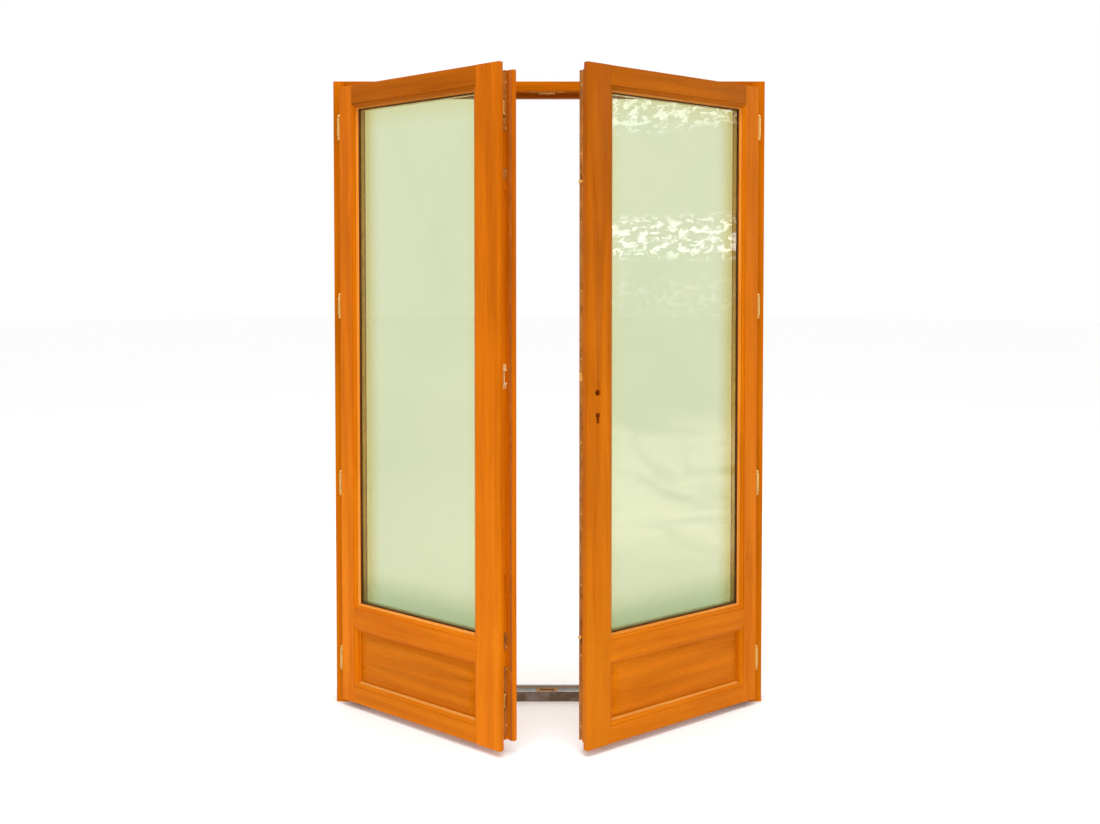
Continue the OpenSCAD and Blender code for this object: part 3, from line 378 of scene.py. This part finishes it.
@dataclass(frozen=True)
class Pane:
    """Clear glass with a faint green cast, darker towards its foot as painted shade, and painted reflections
    of the wood tinting its edges, warm along its hinge side.
    """

    name: str
    hanging: Hanging
    low_corner: tuple[float, float]
    high_corner: tuple[float, float]
    clear: tuple[float, float, float] = (0.865, 0.89, 0.735)
    cast: tuple[float, float, float] = (0.825, 0.868, 0.705)
    # painted shade: the colour the pane darkens to towards its foot
    low: tuple[float, float, float] = (0.735, 0.76, 0.615)
    # painted reflections of the surrounding wood as tints along the pane's edges, with painted shade at the
    # foot: foot, hinge side, meeting side, top
    foot: tuple[float, float, float] = (0.79, 0.855, 0.775)
    painted_reveal_reflection: tuple[float, float, float] = (0.91, 0.80, 0.53)
    meeting: tuple[float, float, float] = (1.0, 0.97, 0.86)
    top: tuple[float, float, float] = (0.98, 0.95, 0.85)
    painted_shade_heights: tuple[float, float] = (0.4, 1.15)
    painted_reveal_reflection_width: float = 0.1
    painted_meeting_reflection_width: float = 0.07
    painted_foot_reflection_height: float = 0.15
    painted_top_reflection_height: float = 0.1

    def material(self) -> bpy.types.Material:
        """Makes the pane's material."""
        r = Recipe(self.name)
        place = r.place(self.hanging)
        drift = r.noise(place, 1.6, 3.0, 0.55, 0.6)
        axes = r.add("SeparateXYZ", {0: place}).outputs
        across, height = axes["X"], axes["Z"]
        if self.hanging.mirrored:
            across = r.math("MULTIPLY", across, -1.0)
        (u0, z0), (u1, z1) = self.low_corner, self.high_corner
        colour = r.mix(r.spread(drift, 0.3, 0.7), self.clear, self.cast)
        # painted shade: darker towards the foot
        colour = r.mix(r.spread(height, *self.painted_shade_heights), self.low, colour)
        # painted reflections: each edge of the pane tinted, fading inwards
        edges = (
            (across, u0, u0 + self.painted_reveal_reflection_width, self.painted_reveal_reflection),
            (across, u1, u1 - self.painted_meeting_reflection_width, self.meeting),
            (height, z0, z0 + self.painted_foot_reflection_height, self.foot),
            (height, z1, z1 - self.painted_top_reflection_height, self.top),
        )
        for value, start, end, painted_tint in edges:
            share = r.spread(value, start, end, 1.0, 0.0)
            share.node.interpolation_type = "SMOOTHSTEP"
            colour = r.mix(share, colour, r.mix(1.0, colour, painted_tint, "MULTIPLY"))
        r.surface(Base_Color=colour, Roughness=0.0, Transmission_Weight=1.0, IOR=1.5)
        r.bump(r.noise(place, 5.0, 1.0), 0.4 * MM, 0.35)
        return r.material


class Reach(Enum):
    """The kinds of surface shine that a light gives."""

    ALL = "all"
    DIFFUSE = "diffuse"
    GLOSS = "gloss"


@dataclass
class Studio:
    """The camera, a pale floor and soft lights."""

    lens: float = 32.96
    sensor: float = 36.0
    sight: float = 100.0
    stand: tuple[float, float, float] = (-0.0008, -3.5031, 1.4462)
    tilt_deg: float = 1.62
    shift: tuple[float, float] = (0.0011, -0.088)
    floor_reach: float = 45.0
    floor_sides: int = 96
    room: float = 1.0
    gloss_share: float = 0.3

    def set_camera(self) -> None:
        """Makes the camera and gives it to the scene."""
        data = bpy.data.cameras.new("camera")
        data.lens, data.sensor_width = self.lens, self.sensor
        data.shift_x, data.shift_y = self.shift
        data.clip_end = self.sight
        camera = bpy.data.objects.new("camera", data)
        camera.location = self.stand
        camera.rotation_euler = (math.radians(90.0 - self.tilt_deg), 0.0, 0.0)
        bpy.context.scene.collection.objects.link(camera)
        bpy.context.scene.camera = camera

    def light_room(self) -> None:
        """Sets an even white room round the doors, dimmer in gloss, and plain colours."""
        scene = bpy.context.scene
        world = bpy.data.worlds.new("room")
        world.use_nodes = True
        nodes, links = world.node_tree.nodes, world.node_tree.links
        back = nodes["Background"]
        back.inputs["Color"].default_value = (1.0, 1.0, 1.0, 1.0)
        ray = nodes.new("ShaderNodeLightPath")
        mirrored = nodes.new("ShaderNodeMath")
        mirrored.operation = "SUBTRACT"
        mirrored.use_clamp = True
        links.new(ray.outputs["Is Glossy Ray"], mirrored.inputs[0])
        links.new(ray.outputs["Is Transmission Ray"], mirrored.inputs[1])
        gloss = nodes.new("ShaderNodeMapRange")
        gloss.inputs["To Min"].default_value = self.room
        gloss.inputs["To Max"].default_value = self.room * self.gloss_share
        links.new(mirrored.outputs[0], gloss.inputs["Value"])
        links.new(gloss.outputs[0], back.inputs["Strength"])
        scene.world = world
        scene.view_settings.view_transform = "Standard"

    def hang_light(
        self,
        name: str,
        at: tuple[float, float, float],
        aim: Vector,
        size: tuple[float, float],
        power: float,
        reach: Reach = Reach.ALL,
    ) -> None:
        """Hangs one soft light.

        Args:
            name: the light's name.
            at: where it hangs.
            aim: the point it faces.
            size: its width and height.
            power: its power in watts.
            reach: the kinds of shine that it gives.
        """
        data = bpy.data.lights.new(name, "AREA")
        data.shape = "RECTANGLE"
        data.size, data.size_y, data.energy = *size, power
        lamp = bpy.data.objects.new(name, data)
        lamp.visible_diffuse = reach is not Reach.GLOSS
        lamp.visible_glossy = reach is not Reach.DIFFUSE
        lamp.location = at
        lamp.rotation_euler = (aim - Vector(at)).to_track_quat("-Z", "Y").to_euler()
        bpy.context.scene.collection.objects.link(lamp)

    def lay_floor(self, height: float) -> None:
        """Lays a round pale floor at a height."""
        bm = bmesh.new()
        bmesh.ops.create_circle(bm, cap_ends=True, segments=self.floor_sides, radius=self.floor_reach)
        bmesh.ops.translate(bm, vec=(0.0, 0.0, height), verts=bm.verts)
        mesh = bpy.data.meshes.new("floor")
        bm.to_mesh(mesh)
        bm.free()
        floor = bpy.data.objects.new("floor", mesh)
        bpy.context.scene.collection.objects.link(floor)
        r = Recipe("pale floor")
        place = r.add("TexCoord").outputs["Object"]
        r.surface(
            Base_Color=r.mix(r.noise(place, 0.7, 2.0), (0.975, 0.975, 0.97), (0.985, 0.985, 0.98)),
            Roughness=0.9,
            Specular_IOR_Level=0.0,
        )
        mesh.materials.append(r.material)
        floor.visible_glossy = False
        floor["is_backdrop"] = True


@dataclass
class GardenCard:
    """A card beside the right leaf that only gloss sees: sky through leaves, and a pale wall.

    Each band holds the heights where it starts, is full, is still full, and ends.
    """

    size: tuple[float, float] = (5.4, 3.4)
    middle: tuple[float, float, float] = (5.0, -1.6, 1.0)
    sky_band: tuple[float, float, float, float] = (2.64, 2.78, 3.1, 3.4)
    tree_band: tuple[float, float, float, float] = (1.64, 1.73, 1.93, 2.04)
    haze_band: tuple[float, float, float, float] = (1.15, 1.3, 1.45, 1.6)
    wall_band: tuple[float, float, float, float] = (-0.9, -0.45, 0.25, 0.55)
    sky_share: float = 0.7
    haze_share: float = 0.12
    gap_glow: float = 8.5
    wall_glow: float = 2.2
    least_glow: float = 0.2
    warm: tuple[float, float, float] = (1.0, 0.90, 0.74)
    cool: tuple[float, float, float] = (0.94, 0.97, 1.0)

    def stand(self) -> None:
        """Makes the card and hides it from all but gloss."""
        bm = bmesh.new()
        bmesh.ops.create_grid(bm, x_segments=1, y_segments=1, size=0.5)
        bmesh.ops.scale(bm, vec=(*self.size, 1.0), verts=bm.verts)
        turn = Matrix.Rotation(math.radians(90.0), 3, "Y")
        bmesh.ops.rotate(bm, cent=(0, 0, 0), matrix=turn, verts=bm.verts)
        bmesh.ops.translate(bm, vec=self.middle, verts=bm.verts)
        mesh = bpy.data.meshes.new("garden card")
        bm.to_mesh(mesh)
        bm.free()
        card = bpy.data.objects.new("garden_card", mesh)
        bpy.context.scene.collection.objects.link(card)
        mesh.materials.append(self.material())
        card.visible_camera = False
        card.visible_diffuse = False
        card.visible_transmission = False
        card.visible_shadow = False
        card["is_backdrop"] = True

    def material(self) -> bpy.types.Material:
        """Makes the card's glowing picture."""
        r = Recipe("garden card")
        place = r.add("TexCoord").outputs["Object"]
        height = r.add("SeparateXYZ", {0: place}).outputs["Z"]
        leaves = r.noise(r.stretched(place, (1.0, 1.0, 1.7)), 12.0, 5.0, 0.7, 0.3)
        sky, trees = r.band(height, self.sky_band), r.band(height, self.tree_band)
        light = r.math("MULTIPLY_ADD", sky, self.sky_share, trees)
        light = r.math("MULTIPLY_ADD", r.band(height, self.haze_band), self.haze_share, light)
        gaps = r.math("MULTIPLY", r.spread(leaves, 0.5, 0.56), light)
        patches = r.noise(r.stretched(place, (1.0, 0.7, 2.0)), 1.9, 3.0, 0.6, 0.9)
        wall = r.math("MULTIPLY", r.spread(patches, 0.36, 0.58), r.band(height, self.wall_band))
        glow = r.math("MULTIPLY_ADD", wall, self.wall_glow, self.least_glow)
        r.surface(
            Base_Color=(0.0, 0.0, 0.0, 1.0),
            Specular_IOR_Level=0.0,
            Emission_Color=r.mix(r.spread(height, 0.8, 1.4), self.warm, self.cool),
            Emission_Strength=r.math("MULTIPLY_ADD", gaps, self.gap_glow, glow),
        )
        return r.material


@dataclass
class Workshop:
    """Makes the finishes once each and gives them to the pieces."""

    made: dict[str, bpy.types.Material] = field(default_factory=dict)

    def dress(self, node: str, finish: Timber | Metal | Seal | Pane) -> None:
        """Gives a CAD node a finish."""
        mesh = bpy.data.objects[node].data
        mesh.materials.clear()
        mesh.materials.append(self.material(finish))

    def material(self, finish: Timber | Metal | Seal | Pane) -> bpy.types.Material:
        """Gives a finish's material, made when first asked for."""
        if finish.name not in self.made:
            self.made[finish.name] = finish.material()
        return self.made[finish.name]


BRASS = Metal("yellow brass", (0.93, 0.60, 0.18), (0.74, 0.42, 0.10), metallic=0.4)
PALE_BRASS = Metal("lacquered pale brass", (0.98, 0.78, 0.42), (0.86, 0.62, 0.28), metallic=0.35)
BRONZE = Metal("lacquered bronze", (0.62, 0.25, 0.045), (0.34, 0.11, 0.015), metallic=0.5)
# the lock's steel, darkened to a near-black maroon as painted shade inside the keyholes
STEEL_WITH_PAINTED_KEYHOLE_SHADE = Metal("steel with painted keyhole shade", (0.12, 0.06, 0.035), (0.05, 0.028, 0.018), (0.4, 0.6), metallic=0.4)
STEEL = Metal("zinc plated steel", (0.66, 0.64, 0.58), (0.48, 0.45, 0.38))
GOLD = Metal("champagne anodised spacer", (0.78, 0.56, 0.24), (0.62, 0.42, 0.16))
RUBBER = Seal("tan rubber seal", (0.36, 0.095, 0.008))
DUSTY_RUBBER = Seal("dusty threshold seal", (0.30, 0.24, 0.17))
GLAZING_SEAL = Seal("dark brown glazing seal", (0.085, 0.028, 0.003))
BROWN_SEAL = Seal("brown edge seal", (0.10, 0.036, 0.003))

# Painted highlight on the mouldings, paler wood where the light catches them: its pale, middle and deep
# colour
PAINTED_HIGHLIGHT_WOOD = ((0.90, 0.43, 0.10), (0.83, 0.32, 0.05), (0.68, 0.21, 0.02))

# The nodes whose finish isn't the plain one of their slot
NODE_FINISHES = {
    "threshold_gasket": DUSTY_RUBBER,
    "left_centre_strike": PALE_BRASS,
    "threshold_keep": BRONZE,
    "head_keep": BRONZE,
    "left_bolt_cases": BRONZE,
    "left_upper_keep": BRONZE,
    "left_lower_keep": BRONZE,
    "right_faceplate": BRONZE,
    # painted shade inside the keyholes, on the lock's steel
    "right_follower": STEEL_WITH_PAINTED_KEYHOLE_SHADE,
    "right_lock_case": STEEL_WITH_PAINTED_KEYHOLE_SHADE,
}

# Each board's painted shade mixed with its own colour: the top rails and the right leaf darker where less
# light falls; a second number gives painted shade with height
LEFT_PAINTED_SHADES_AND_TONES = {
    "hinge_stile": PaintedShadeAndTone(),
    "meeting_stile": PaintedShadeAndTone(0.97, -0.2),
    "top_rail": PaintedShadeAndTone(0.68),
    "mid_rail": PaintedShadeAndTone(0.94),
    "bottom_rail": PaintedShadeAndTone(0.86),
    "panel": PaintedShadeAndTone(0.8, figure=0.07),
    "beads": PaintedShadeAndTone(0.9),
    "weather_bar": PaintedShadeAndTone(0.9),
}
RIGHT_PAINTED_SHADES_AND_TONES = {
    "hinge_stile": PaintedShadeAndTone(0.92),
    "meeting_stile": PaintedShadeAndTone(0.78, -0.3),
    "top_rail": PaintedShadeAndTone(0.66),
    "mid_rail": PaintedShadeAndTone(0.86),
    "bottom_rail": PaintedShadeAndTone(0.86),
    "panel": PaintedShadeAndTone(0.84, figure=0.07),
    "beads": PaintedShadeAndTone(0.9),
    "weather_bar": PaintedShadeAndTone(0.9),
}


def hang_piece(bm: bmesh.types.BMesh, name: str, node: str, body: str) -> bpy.types.Object:
    """Makes an object of a finished shape in place of a CAD node.

    Args:
        bm: the shape, which is used up.
        name: the new piece's name.
        node: the CAD node that it replaces.
        body: the body it moves with.

    Returns:
        The piece, without its finish.
    """
    bmesh.ops.recalc_face_normals(bm, faces=bm.faces)
    mesh = bpy.data.meshes.new(name)
    bm.to_mesh(mesh)
    bm.free()
    piece = bpy.data.objects.new(name, mesh)
    bpy.context.scene.collection.objects.link(piece)
    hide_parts(node)
    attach(piece, body)
    return piece


@dataclass
class Board:
    """A piece of joinery with its sharp arrises eased round."""

    node: str
    body: str
    slot: str = "wood"
    ease: float = 0.7 * MM
    steps: int = 2
    sharp_deg: float = 40.0
    least_edge: float = 30.0 * MM
    least_face: float = 60.0 * MM * MM
    hanging: Hanging = Hanging()
    mould_depths: tuple[float, float] = (7.5 * MM, 16.0 * MM)
    mould_from: float = 0.0
    mould_facing: float = 0.3
    weld: float = 0.002 * MM
    flat_deg: float = 0.6

    def build(
        self, finish: bpy.types.Material, painted_highlight_finish: bpy.types.Material | None = None
    ) -> bpy.types.Object:
        """Makes the piece from its CAD shape.

        Args:
            finish: the piece's material.
            painted_highlight_finish: the material of its moulding, paler as a painted highlight, where that
                differs.

        Returns:
            The piece in its place.
        """
        bm = bmesh.new()
        bm.from_mesh(bpy.data.objects[self.node].data)
        bmesh.ops.remove_doubles(bm, verts=bm.verts, dist=self.weld)
        limit = math.radians(self.flat_deg)
        bmesh.ops.dissolve_limit(bm, angle_limit=limit, verts=bm.verts, edges=bm.edges, delimit=set())
        self.shape(bm)
        if painted_highlight_finish:
            self.mark_painted_highlight(bm)
        eased = bmesh.ops.bevel(
            bm,
            geom=[edge for edge in bm.edges if self.is_arris(edge)],
            offset=self.ease,
            offset_type="OFFSET",
            segments=self.steps,
            profile=0.5,
            affect="EDGES",
            clamp_overlap=False,
            material=-1,
            miter_outer="ARC",
        )
        for face in eased["faces"]:
            face.smooth = True
        bmesh.ops.triangulate(bm, faces=[face for face in bm.faces if len(face.verts) > 4])
        piece = hang_piece(bm, f"{self.node}.eased", self.node, self.body)
        piece.data.materials.append(finish)
        if painted_highlight_finish:
            piece.data.materials.append(painted_highlight_finish)
        return piece

    def mark_painted_highlight(self, bm: bmesh.types.BMesh) -> None:
        """Gives the moulding's faces the second material, the painted highlight: those between two depths
        behind the room face.
        """
        height = Vector((0.0, 0.0, self.mould_from))
        geometry = bm.verts[:] + bm.edges[:] + bm.faces[:]
        bmesh.ops.bisect_plane(bm, geom=geometry, plane_co=height, plane_no=(0.0, 0.0, 1.0))
        back = self.hanging.to_doorway().inverted()
        face_v = min((back @ vert.co).y for vert in bm.verts)
        shallow, deep = self.mould_depths
        for face in bm.faces:
            depths = [(back @ vert.co).y - face_v for vert in face.verts]
            outward = (back.to_3x3() @ face.normal).y < self.mould_facing
            above = face.calc_center_median().z > self.mould_from
            if above and outward and min(depths) > shallow and max(depths) < deep:
                face.material_index = 1

    def is_arris(self, edge: bmesh.types.BMEdge) -> bool:
        """Tells whether an edge is a long outward corner between faces of some size."""
        if len(edge.link_faces) != 2 or not edge.is_convex or edge.calc_length() < self.least_edge:
            return False
        sharp = edge.calc_face_angle(0.0) > math.radians(self.sharp_deg)
        return sharp and min(face.calc_area() for face in edge.link_faces) > self.least_face

    def shape(self, bm: bmesh.types.BMesh) -> None:
        """Leaves the CAD shape alone; a piece with more to it adds that here."""


@dataclass
class FieldedPanel(Board):
    """A raised panel whose field stands on a small shoulder above its sloping margins."""

    slot: str = "panel_wood"
    shoulder: float = 1.6 * MM
    lead: float = 1.2 * MM
    least_field: float = 0.02

    def shape(self, bm: bmesh.types.BMesh) -> None:
        """Cuts the shoulder round the field on both faces."""
        fields = [f for f in bm.faces if f.calc_area() > self.least_field and self.is_field(f)]
        for face in fields:
            rim = list(face.verts)
            down = face.normal * -self.shoulder
            bmesh.ops.inset_region(bm, faces=[face], thickness=self.lead, use_even_offset=True)
            bmesh.ops.translate(bm, vec=down, verts=rim)

    def is_field(self, face: bmesh.types.BMFace) -> bool:
        """Tells whether a face has nothing but slopes that fall away round it."""
        around = [edge.calc_face_angle(0.0) for edge in face.edges]
        return all(edge.is_convex for edge in face.edges) and max(around) < math.radians(self.sharp_deg)


@dataclass
class GlassSheet:
    """A pane with its arrises ground off."""

    node: str
    body: str
    hanging: Hanging
    arris: float = 0.5 * MM

    def build(self, finish: bpy.types.Material) -> bpy.types.Object:
        """Makes the pane where the CAD has it.

        Args:
            finish: the pane's material.

        Returns:
            The pane in its place.
        """
        low, high = self.hanging.box(self.node)
        bm = bmesh.new()
        bmesh.ops.create_cube(bm, size=1.0)
        bmesh.ops.scale(bm, vec=high - low, verts=bm.verts)
        bmesh.ops.translate(bm, vec=(low + high) / 2.0, verts=bm.verts)
        bmesh.ops.bevel(
            bm, geom=bm.edges[:], offset=self.arris, segments=1, profile=0.5, affect="EDGES", material=-1
        )
        bmesh.ops.transform(bm, matrix=self.hanging.to_doorway(), verts=bm.verts)
        piece = hang_piece(bm, f"{self.node}.arrised", self.node, self.body)
        piece.data.materials.append(finish)
        return piece


@dataclass
class BarrelHinges:
    """Turned halves of barrel hinges: knuckles with a ball finial and two shanks each."""

    node: str
    body: str
    pins: tuple[tuple[float, float], ...]
    shank_turn: float
    way: float
    shank_end: float
    barrel_r: float = 7.0 * MM
    bore_r: float = 3.1 * MM
    length: float = 43.85 * MM
    finial: float = 12.0 * MM
    edge: float = 0.5 * MM
    ring_depth: float = 0.35 * MM
    ring_heights: tuple[float, ...] = (2.6 * MM, 2.9 * MM, 3.5 * MM, 3.8 * MM)
    neck_step: float = 0.6 * MM
    neck_in: float = 2.0 * MM
    ball_in: float = 1.0 * MM
    ball_from_deg: float = -48.0
    ball_points: int = 12
    shank_r: float = 3.25 * MM
    shank_start: float = 5.0 * MM
    shank_heights: tuple[float, float] = (9.85 * MM, 24.85 * MM)
    shank_sides: int = 24
    turns: int = 40
    hinge_apart: float = 100.0 * MM
    crease_deg: float = 32.0

    def profile(self) -> list[tuple[float, float]]:
        """Gives the knuckle's half section, from the bore's end round to the finial's tip."""
        r, h = self.barrel_r, self.length
        neck = h - self.finial
        bore_top = neck + self.edge
        points = [(0.0, bore_top), (self.bore_r, bore_top), (self.bore_r, 0.0), (r - self.edge, 0.0)]
        ring_r = r - self.ring_depth
        ring = list(zip((r, ring_r, ring_r, r), self.ring_heights))
        points += [(r, self.edge), *ring]
        points += [(radius, neck - height) for radius, height in reversed(ring)]
        points += [(r, neck - self.neck_step), (r - self.edge, neck)]
        points.append((r - self.neck_in, neck + self.neck_step))
        ball = r - self.ball_in
        centre = h - ball
        sweep = 90.0 - self.ball_from_deg
        for k in range(self.ball_points):
            angle = math.radians(self.ball_from_deg + k * sweep / (self.ball_points - 1))
            points.append((ball * math.cos(angle), centre + ball * math.sin(angle)))
        points[-1] = (0.0, h)
        return points

    def places(self) -> list[float]:
        """Finds the height of each knuckle's inner end from the CAD node."""
        heights = sorted({round(v.co.z, 6) for v in bpy.data.objects[self.node].data.vertices})
        groups = [[heights[0]]]
        for z in heights[1:]:
            if z - groups[-1][-1] > self.hinge_apart:
                groups.append([])
            groups[-1].append(z)
        return [group[0] if self.way > 0.0 else group[-1] for group in groups]

    def build(self, finish: bpy.types.Material) -> bpy.types.Object:
        """Turns every knuckle of the column and sets its shanks.

        Args:
            finish: the hinges' material.

        Returns:
            The hinge halves as one piece.
        """
        bm = bmesh.new()
        for pin in self.pins:
            for z in self.places():
                self.turn_knuckle(bm, pin, z)
                for height in self.shank_heights:
                    self.set_shank(bm, pin, z + self.way * height)
        for edge in bm.edges:
            edge.smooth = edge.calc_face_angle(0.0) < math.radians(self.crease_deg)
        for face in bm.faces:
            face.smooth = True
        piece = hang_piece(bm, f"{self.node}.turned", self.node, self.body)
        piece.data.materials.append(finish)
        return piece

    def turn_knuckle(self, bm: bmesh.types.BMesh, pin: tuple[float, float], z: float) -> None:
        """Turns one knuckle.

        Args:
            bm: where it is made.
            pin: its pin's place.
            z: the height of its inner end.
        """
        points = [bm.verts.new((pin[0] + r, pin[1], z + self.way * h)) for r, h in self.profile()]
        edges = [bm.edges.new(pair) for pair in zip(points, points[1:])]
        bmesh.ops.spin(
            bm,
            geom=points + edges,
            cent=(*pin, 0.0),
            axis=(0.0, 0.0, 1.0),
            angle=math.tau,
            steps=self.turns,
            use_merge=True,
        )

    def set_shank(self, bm: bmesh.types.BMesh, pin: tuple[float, float], z: float) -> None:
        """Sets one shank into the wood.

        Args:
            bm: where it is made.
            pin: the pin's place.
            z: the shank's height.
        """
        turn = Matrix.Rotation(self.shank_turn, 4, "Z") @ Matrix.Rotation(math.pi / 2.0, 4, "Y")
        middle = (self.shank_start + self.shank_end) / 2.0
        bmesh.ops.create_cone(
            bm,
            cap_ends=True,
            segments=self.shank_sides,
            radius1=self.shank_r,
            radius2=self.shank_r,
            depth=self.shank_end - self.shank_start,
            matrix=Matrix.Translation((*pin, z)) @ turn @ Matrix.Translation((0.0, 0.0, middle)),
        )


@dataclass
class Leaf:
    """One glazed leaf with its raised panel, seals and hardware."""

    side: str
    hanging: Hanging
    workshop: Workshop
    seed: float
    painted_shades_and_tones: dict[str, PaintedShadeAndTone]
    uprights: tuple[str, ...] = ("hinge_stile", "meeting_stile")
    moulded: tuple[str, ...] = ("hinge_stile", "meeting_stile", "top_rail", "mid_rail", "bottom_rail")
    hinge_shank_end: float = 43.0 * MM
    seed_step: float = 3.1

    def build(self) -> None:
        """Makes the leaf's own pieces and gives its CAD nodes their finish."""
        body = f"{self.side}_leaf"
        self.build_boards(body)
        self.build_panes(body)
        along = self.hanging.to_doorway().to_3x3() @ Vector((1.0, 0.0, 0.0))
        hinges = BarrelHinges(
            f"{self.side}_hinges",
            body,
            (self.hanging.pin,),
            shank_turn=math.atan2(along.y, along.x),
            way=1.0,
            shank_end=self.hinge_shank_end,
        )
        hinges.build(self.workshop.material(BRASS))
        self.workshop.dress(f"{self.side}_spacer", GOLD)
        self.workshop.dress(f"{self.side}_edge_seal", BROWN_SEAL)
        self.workshop.dress(f"{self.side}_glazing_gasket", GLAZING_SEAL)
        log.info("%s leaf built: %d boards, two panes, one column of hinges", self.side, len(self.painted_shades_and_tones))

    def build_boards(self, body: str) -> None:
        """Makes the stiles, rails, panel, beads and drip rail.

        Args:
            body: the body that they move with.
        """
        glass_from = sum(corner[2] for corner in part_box(f"{self.side}_mid_rail")) / 2.0
        pale, mid, deep = PAINTED_HIGHLIGHT_WOOD
        for n, (part, painted_shade_and_tone) in enumerate(self.painted_shades_and_tones.items()):
            grain = Grain.UPRIGHT if part in self.uprights else Grain.ACROSS
            name = f"{self.side} {part} varnished wood"
            finish = Timber(name, self.hanging, grain, self.seed + n * self.seed_step, painted_shade_and_tone)
            kind = FieldedPanel if part == "panel" else Board
            board = kind(f"{self.side}_{part}", body, hanging=self.hanging)
            if part in self.moulded:
                board.mould_from = 0.0 if part == "bottom_rail" else glass_from
                # the moulding's paler copy of the finish is a painted highlight
                painted_highlight = replace(finish, name=f"{name}, rubbed", pale=pale, mid=mid, deep=deep)
                board.build(self.workshop.material(finish), self.workshop.material(painted_highlight))
            else:
                board.build(self.workshop.material(finish))

    def build_panes(self, body: str) -> None:
        """Makes the two panes of the glazing.

        Args:
            body: the body that they move with.
        """
        for part in ("inner_pane", "outer_pane"):
            node = f"{self.side}_{part}"
            low, high = self.hanging.box(node)
            glass = Pane(f"{self.side} {part} glass", self.hanging, (low.x, low.z), (high.x, high.z))
            GlassSheet(node, body, self.hanging).build(self.workshop.material(glass))


@dataclass
class DoorFrame:
    """The jambs, head and threshold, with the hinges' fixed halves."""

    pins: tuple[tuple[float, float], ...]
    workshop: Workshop
    seed: float = 40.0
    seed_step: float = 5.7
    # each board's painted shade mixed with its own colour
    boards: tuple[tuple[str, Grain, PaintedShadeAndTone], ...] = (
        ("jamb_left", Grain.UPRIGHT, PaintedShadeAndTone(0.86)),
        ("jamb_right", Grain.UPRIGHT, PaintedShadeAndTone(0.86)),
        ("head", Grain.ACROSS, PaintedShadeAndTone(0.9)),
    )
    threshold_ease: float = 0.4 * MM
    hinge_shank_end: float = 38.0 * MM

    def build(self) -> None:
        """Makes the frame's own pieces and gives its CAD nodes their finish."""
        for n, (node, grain, painted_shade_and_tone) in enumerate(self.boards):
            finish = Timber(f"{node} varnished wood", Hanging(), grain, self.seed + n * self.seed_step, painted_shade_and_tone)
            Board(node, "frame").build(self.workshop.material(finish))
        sill = SillMetal(
            "mill finish aluminium",
            colour=(0.86, 0.88, 0.87),
            dull=(0.70, 0.75, 0.73),
            rough=(0.28, 0.44),
            brushed=(0.03, 1.0, 1.0),
            front=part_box("threshold")[0][1],
        )
        Board("threshold", "frame", "aluminium", self.threshold_ease).build(self.workshop.material(sill))
        hinges = BarrelHinges(
            "frame_hinges",
            "frame",
            self.pins,
            shank_turn=math.pi / 2.0,
            way=-1.0,
            shank_end=self.hinge_shank_end,
        )
        hinges.build(self.workshop.material(BRASS))
        log.info("frame built: three boards, threshold, two columns of hinges")


def record_finish(slot: str) -> Metal | Seal | None:
    """Gives the plain finish for a slot of the record, where it has one."""
    return {"brass": BRASS, "steel": STEEL, "gasket": RUBBER, "spacer": GOLD}.get(slot)


def hanging_of(joint: dict, mirrored: bool) -> Hanging:
    """Reads how a leaf hangs at rest from its hinge joint.

    Args:
        joint: the leaf's hinge, whose lowest value is the leaf shut.
        mirrored: whether the leaf is the right-hand one.

    Returns:
        Where the leaf's own axes stand.
    """
    turn = -math.radians(joint["range_deg"][0]) * joint["axis"][2]
    return Hanging(tuple(joint["pos_m"][:2]), turn, mirrored)


def main() -> None:
    """Builds the scene in order, and each sub-assembly reports itself."""
    logging.basicConfig(level=logging.INFO, format="%(name)s: %(message)s")
    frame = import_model()
    cad_box = [list(corner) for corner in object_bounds()]
    studio = Studio()
    studio.set_camera()
    studio.light_room()
    studio.lay_floor(cad_box[0][2])
    middle, foot = Vector((0.0, -0.2, 1.1)), Vector((0.0, -0.3, 0.3))
    studio.hang_light("top", (0.0, -0.9, 4.6), middle, size=(2.4, 2.4), power=118.0)
    studio.hang_light("low", (0.0, -3.9, 0.4), foot, size=(1.8, 0.8), power=19.0, reach=Reach.DIFFUSE)
    studio.hang_light("high gloss", (0.0, -1.9, 4.8), middle, size=(3.2, 1.6), power=210.0, reach=Reach.GLOSS)
    GardenCard().stand()

    workshop = Workshop()
    for entry in frame["record"]["subparts"]:
        finish = record_finish(entry["material_slot"])
        if finish:
            workshop.dress(entry["node"], finish)
    for node, finish in NODE_FINISHES.items():
        workshop.dress(node, finish)
    joints = {joint["name"]: joint for joint in frame["joints"]}
    leaves = (("left", False, 1.0, LEFT_PAINTED_SHADES_AND_TONES), ("right", True, 31.0, RIGHT_PAINTED_SHADES_AND_TONES))
    pins = tuple(tuple(joints[f"{side}_leaf_hinge"]["pos_m"][:2]) for side, *_ in leaves)
    DoorFrame(pins, workshop).build()
    for side, mirrored, seed, painted_shades_and_tones in leaves:
        Leaf(side, hanging_of(joints[f"{side}_leaf_hinge"], mirrored), workshop, seed, painted_shades_and_tones).build()


if __name__ == "__main__":
    main()
